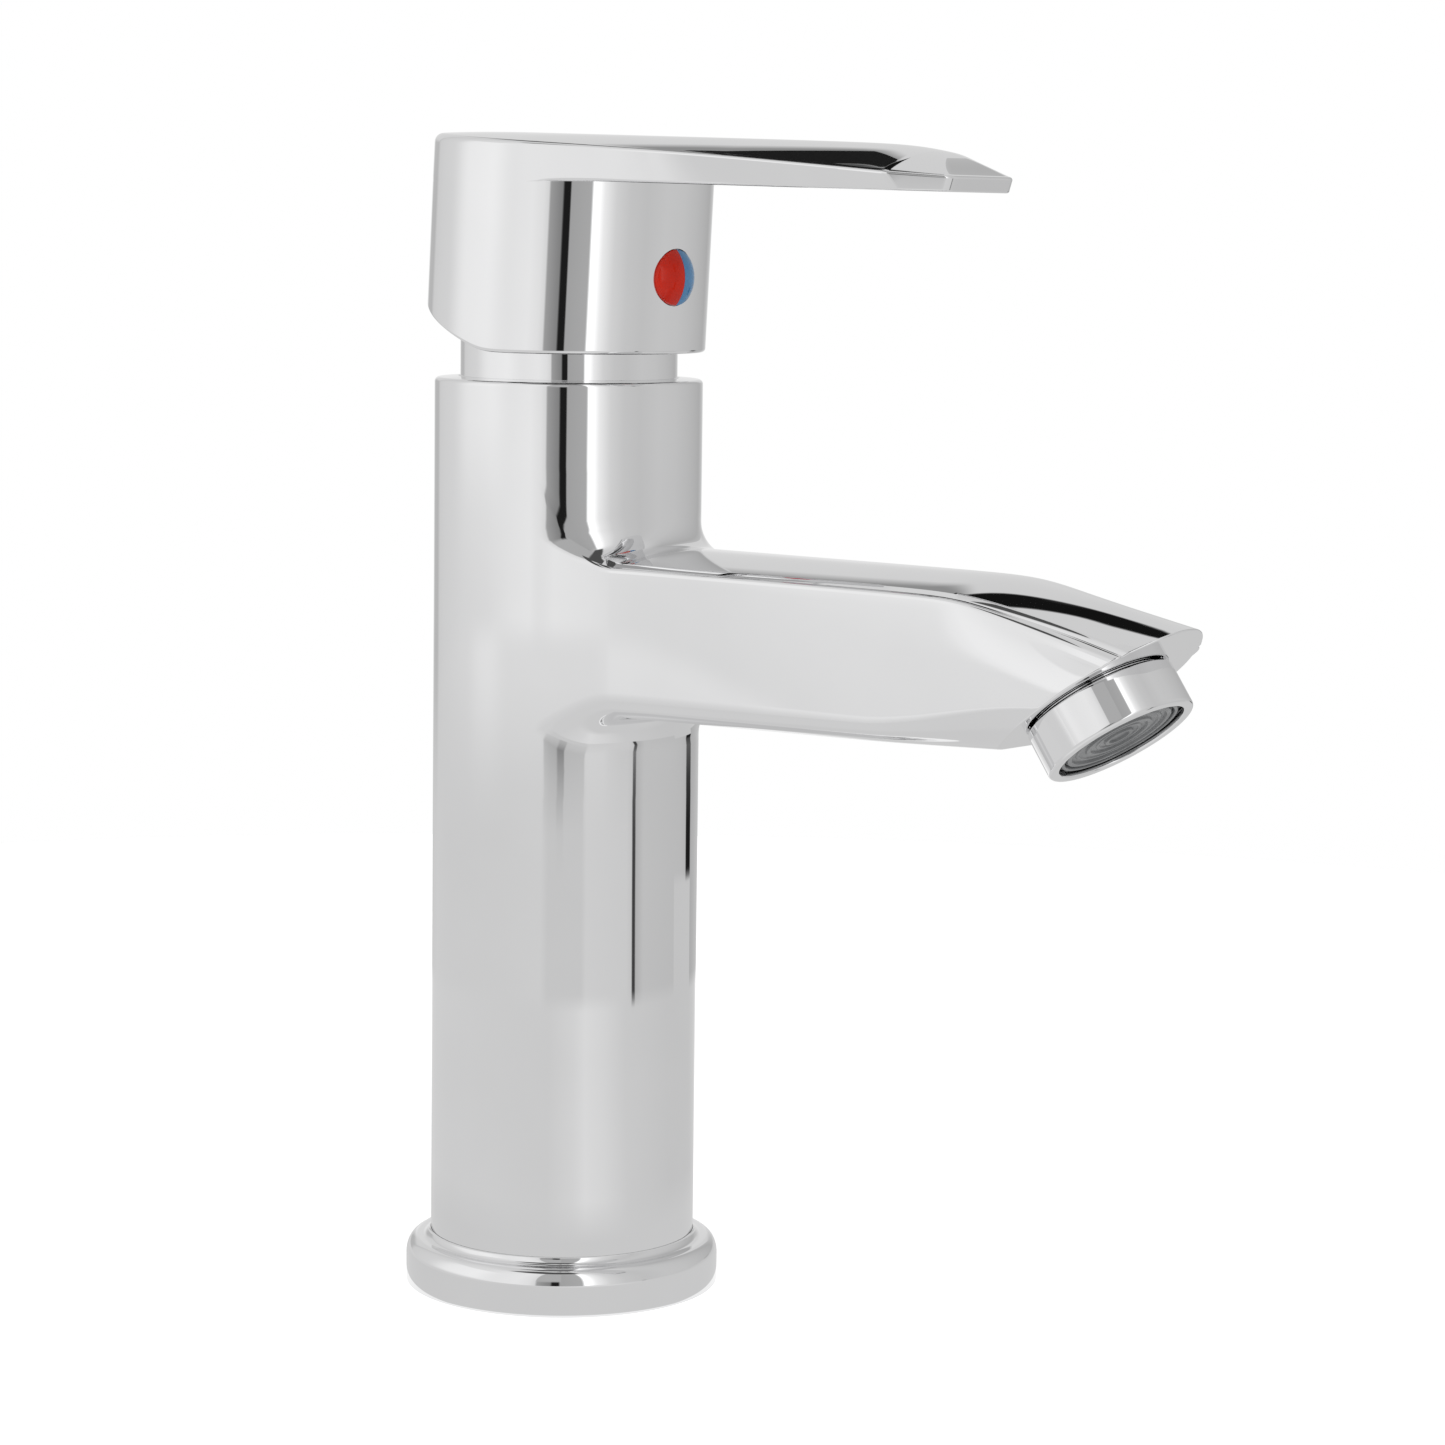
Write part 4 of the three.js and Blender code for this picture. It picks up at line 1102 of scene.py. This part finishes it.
def add_camera():
    data = bpy.data.cameras.new("camera")
    data.lens = CAMERA_LENS
    data.sensor_width = 36
    data.clip_start = 0.01
    data.clip_end = 20
    camera = bpy.data.objects.new("camera", data)
    bpy.context.scene.collection.objects.link(camera)
    place = Matrix.Translation((
        CAMERA_DISTANCE * math.sin(CAMERA_AZIMUTH),
        -CAMERA_DISTANCE * math.cos(CAMERA_AZIMUTH),
        CAMERA_HEIGHT,
    ))
    yaw = Matrix.Rotation(CAMERA_AZIMUTH + CAMERA_YAW, 4, "Z")
    pitch = Matrix.Rotation(math.pi / 2 - CAMERA_PITCH, 4, "X")
    roll = Matrix.Rotation(CAMERA_ROLL, 4, "Z")
    camera.matrix_world = place @ yaw @ pitch @ roll
    bpy.context.scene.camera = camera


# A light tent stands round the object and only its reflections show. Its brightness is given by
# azimuth, in degrees from -Y towards +X, as it should look on the chrome.
TENT_LEVELS = (
    (-180, 0.69), (-168, 0.66), (-156, 0.73), (-144, 0.85), (-128, 0.87), (-120, 0.69),
    (-107, 0.69), (-101, 0.78), (-90, 0.80), (-60, 0.83), (-30, 0.85), (-8, 0.885), (10, 0.9),
    (19, 0.87), (23, 0.83), (24.5, 0.6), (34, 0.5), (35.5, 0.13), (40, 0.13), (41, 0.62),
    (57, 0.65), (59, 1.1), (63, 1.05), (68, 0.92), (78, 0.81), (90, 0.76), (105, 0.74),
    (125, 0.76), (145, 0.75), (165, 0.72), (180, 0.69),
)
# The same for the tent's floor, far away and close to the object
FAR_FLOOR_LEVELS = (
    (-180, 0.66), (-165, 0.7), (-120, 0.76), (-100, 0.79), (22, 0.8), (28, 0.77), (56, 0.77),
    (60, 0.8), (96, 0.785), (100.5, 0.76), (101.5, 0.25), (103.5, 0.25), (104.5, 0.68),
    (112, 0.74), (160, 0.72), (169, 0.7), (170.5, 0.12), (178.5, 0.12), (180, 0.5),
)
NEAR_FLOOR_LEVELS = (
    (-180, 0.755), (-162, 0.78), (-150, 0.92), (-140, 0.95), (-126, 0.86), (-114, 0.79),
    (-90, 0.8), (-45, 0.8), (30, 0.79), (50, 0.82), (60, 0.85), (75, 0.83), (95, 0.785), (140, 0.76),
    (180, 0.755),
)
ROOF_LEVEL = 0.79
ROOF_START = (52, 72)  # elevations over which the walls turn into the roof
BACK_WALL = (-160, -105, 0.8, 2, 12)  # azimuths, upper level, elevations over which it changes
DARK_STRIP = (23, 42, 0.66, 6, 14)  # the same for the wall's dark strip
BRIGHT_WALL = (-75, -5, 25, -6.5, 40, 5, 0.075)  # azimuths, blur, elevations, blur, extra level
# Dark gaps in the tent's roof: first and last azimuth, lowest and highest elevation, level, blur
TENT_GAPS = (
    (-145, -124, 27, 52, 0.54, 5),
    (-153, -116, 46, 66, 0.1, 2),
    (-30, 66, 60, 82, 0.3, 3),
)
TENT_RADIUS = 1.2
TENT_MIDDLE = 0.15  # the height that elevations are taken from
FOOT_LEVEL = 0.78
FLOOR_EDGE_LIMIT = (-115, 0.82, 0.85)  # an azimuth, and the edge's highest level on each side
FLOOR_EDGE_LIFT = (-55, -8, 20, 0.03)  # azimuths, blur, extra level
FAR_BEHIND_AZIMUTH = 150  # from here the near floor reaches further
# Distances over which the floor's brightness turns into the next one
FLOOR_RADII = {
    "near": (0.07, 0.1),
    "far": (0.28, 0.3),
    "far behind": (0.44, 0.46),
    "edge": (0.5, 1.05),
    "wall": (1.05, TENT_RADIUS),
}
# The tent's mesh: its rows of points by elevation, and its floor's by distance
TENT_ELEVATIONS = (
    -9, -7, -5, -3, 0, 1, 2, 4, 7, *range(10, 30, 4), *range(30, 70), *range(70, 88, 3),
)
FLOOR_DISTANCES = (
    0.03, 0.07, 0.1, 0.2, 0.28, 0.29, 0.3, 0.44, 0.45, 0.46, 0.55, 0.65, 0.75, 0.85, 0.95,
    1.05, 1.1, 1.15, TENT_RADIUS,
)
TENT_FLOOR_HEIGHT = -0.001
TENT_TOP_RADIUS = 0.02
CHROME_REFLECTION = 0.86  # the share of the light that the chrome gives back
SCREEN_GAMMA = 2.2


def level_at(stops, degrees):
    """The level between the two stops around an angle."""
    for (start, low), (end, high) in zip(stops, stops[1:]):
        if start <= degrees <= end:
            return lerp(low, high, (degrees - start) / (end - start))
    return stops[-1][1]


def inside(value, low, high, blur):
    """1 between low and high, 0 outside, with edges blurred inwards."""
    return smoothstep(value, low, low + blur) * (1 - smoothstep(value, high - blur, high))


def tent_level(azimuth, elevation):
    level = lerp(level_at(TENT_LEVELS, azimuth), ROOF_LEVEL, smoothstep(elevation, *ROOF_START))
    for first, last, upper_level, low, high in (BACK_WALL, DARK_STRIP):
        if first < azimuth < last:
            level = lerp(level, upper_level, smoothstep(elevation, low, high))
    first, last, side_blur, low, high, end_blur, extra = BRIGHT_WALL
    level += extra * inside(azimuth, first, last, side_blur) * inside(elevation, low, high, end_blur)
    for start, end, low, high, dark, blur in TENT_GAPS:
        across = inside(azimuth, start, end, blur)
        level = lerp(level, dark, across * inside(elevation, low, high, blur))
    return level


def floor_level(azimuth, distance):
    """The floor's brightness: at the foot, near, far, at the tent's edge, and as the wall."""
    near = level_at(NEAR_FLOOR_LEVELS, azimuth)
    near = lerp(FOOT_LEVEL, near, smoothstep(distance, *FLOOR_RADII["near"]))
    far = level_at(FAR_FLOOR_LEVELS, azimuth)
    wall = level_at(TENT_LEVELS, azimuth)
    turn, limit_before, limit_after = FLOOR_EDGE_LIMIT
    first, last, blur, extra = FLOOR_EDGE_LIFT
    edge = min(wall, limit_before if azimuth < turn else limit_after)
    edge += extra * inside(azimuth, first, last, blur)
    reach = "far" if azimuth < FAR_BEHIND_AZIMUTH else "far behind"
    level = lerp(near, far, smoothstep(distance, *FLOOR_RADII[reach]))
    level = lerp(level, edge, smoothstep(distance, *FLOOR_RADII["edge"]))
    return lerp(level, wall, smoothstep(distance, *FLOOR_RADII["wall"]))


def glow(name):
    """A material that shines as strongly as the mesh's attribute "level" says."""
    material = bpy.data.materials.new(name)
    material.use_nodes = True
    nodes = material.node_tree.nodes
    nodes.clear()
    attribute = nodes.new("ShaderNodeAttribute")
    attribute.attribute_name = "level"
    emission = nodes.new("ShaderNodeEmission")
    output = nodes.new("ShaderNodeOutputMaterial")
    links = material.node_tree.links
    links.new(attribute.outputs["Fac"], emission.inputs["Strength"])
    links.new(emission.outputs["Emission"], output.inputs["Surface"])
    return material


def add_glowing(name, rows):
    """A glowing surface from rows of (point, level) around it. The camera doesn't see it."""
    bm = bmesh.new()
    layer = bm.verts.layers.float.new("level")
    grid = []
    for row in rows:
        line = []
        for point, level in row:
            vertex = bm.verts.new(point)
            vertex[layer] = level**SCREEN_GAMMA / CHROME_REFLECTION
            line.append(vertex)
        grid.append(line)
    join_levels(bm, grid)
    surface = add_object(name, bm, glow(name))
    surface.visible_camera = False


def around(azimuth, distance, z):
    """The point at an azimuth in degrees and a distance from the Z axis."""
    turn = math.radians(azimuth)
    return Vector((distance * math.sin(turn), -distance * math.cos(turn), z))


def add_tent():
    """A light tent: its walls and roof, and the floor inside it."""
    azimuths = [step / 2 for step in range(-360, 360)]
    tent = []
    for elevation in TENT_ELEVATIONS:
        turn = math.radians(elevation)
        distance = TENT_RADIUS * math.cos(turn)
        height = TENT_MIDDLE + TENT_RADIUS * math.sin(turn)
        tent.append([(around(a, distance, height), tent_level(a, elevation)) for a in azimuths])
    top = TENT_MIDDLE + TENT_RADIUS
    tent.append([(around(a, TENT_TOP_RADIUS, top), tent_level(a, 90)) for a in azimuths])
    add_glowing("tent", tent)
    floor = []
    for distance in FLOOR_DISTANCES:
        floor.append([
            (around(a, distance, TENT_FLOOR_HEIGHT), floor_level(a, distance)) for a in azimuths
        ])
    add_glowing("tent_floor", floor)


def add_dark_card():
    """A small black card behind and above the handle, which shows as the dark patch on it."""
    right = CARD_DIRECTION.cross(Vector((0, 0, 1))).normalized()
    up = right.cross(CARD_DIRECTION).normalized()
    across, along = CARD_HALF_SIZE
    corners = ((-across, -along), (across, -along), (across, along), (-across, along))
    bm = bmesh.new()
    bm.faces.new([bm.verts.new(CARD_MIDDLE + right * x + up * y) for x, y in corners])
    black = Shader("black card", (0.004, 0.004, 0.004), 0.9)
    card = add_object("dark_card", bm, black.material)
    card.visible_camera = False
    card.visible_diffuse = False


def add_floor():
    """The pale floor that the object stands on, as bright as the backdrop."""
    bm = bmesh.new()
    bmesh.ops.create_circle(bm, cap_ends=True, segments=96, radius=FLOOR_RADIUS)
    shader = Shader("pale floor", (0.8, 0.8, 0.8), 0.6)
    shader.set("Emission Color", (1, 1, 1, 1))
    shader.set("Emission Strength", 0.6)
    floor = add_object("floor", bm, shader.material)
    floor.location.z = FLOOR_HEIGHT
    floor.visible_glossy = False
    floor.visible_diffuse = False


def add_world():
    world = bpy.data.worlds.new("backdrop")
    world.use_nodes = True
    world.node_tree.nodes["Background"].inputs["Color"].default_value = (1, 1, 1, 1)
    bpy.context.scene.world = world
    bpy.context.scene.view_settings.view_transform = "Standard"


def main():
    add_camera()
    add_world()
    add_floor()
    add_tent()
    add_dark_card()
    finishes = {
        "polished_chrome": chrome(),
        "plain_brass": brass(),
        "steel": steel(),
        "black_rubber": moulded("rubber", (0.012, 0.012, 0.012), (0.025, 0.025, 0.025), 0.55, 0.8),
        "white_nylon": moulded("white nylon", (0.72, 0.71, 0.67), (0.8, 0.79, 0.75), 0.4, 0.6),
        "grey_nylon": moulded("grey nylon", (0.17, 0.175, 0.18), (0.25, 0.255, 0.26), 0.25, 0.45),
        "alumina": moulded("alumina", (0.84, 0.82, 0.77), (0.9, 0.88, 0.84), 0.12, 0.25),
        "red_acrylic": tinted("red acrylic", (0.66, 0.014, 0.001), (0.85, 0.024, 0.002)),
        "blue_acrylic": tinted("blue acrylic", (0.07, 0.26, 0.52), (0.11, 0.32, 0.6)),
    }
    paint_cad_nodes(finishes)
    metal = finishes["polished_chrome"]
    make_body(metal)
    make_base_ring(metal)
    make_collar(metal)
    make_handle(metal)
    make_index_half("index_blue", 1, finishes["blue_acrylic"], "index_button_blue")
    make_index_half("index_red", -1, finishes["red_acrylic"], "index_button_red")
    make_aerator_housing(metal)
    make_aerator_core(finishes["grey_nylon"])
    make_aerator_rings(finishes["grey_nylon"])


main()
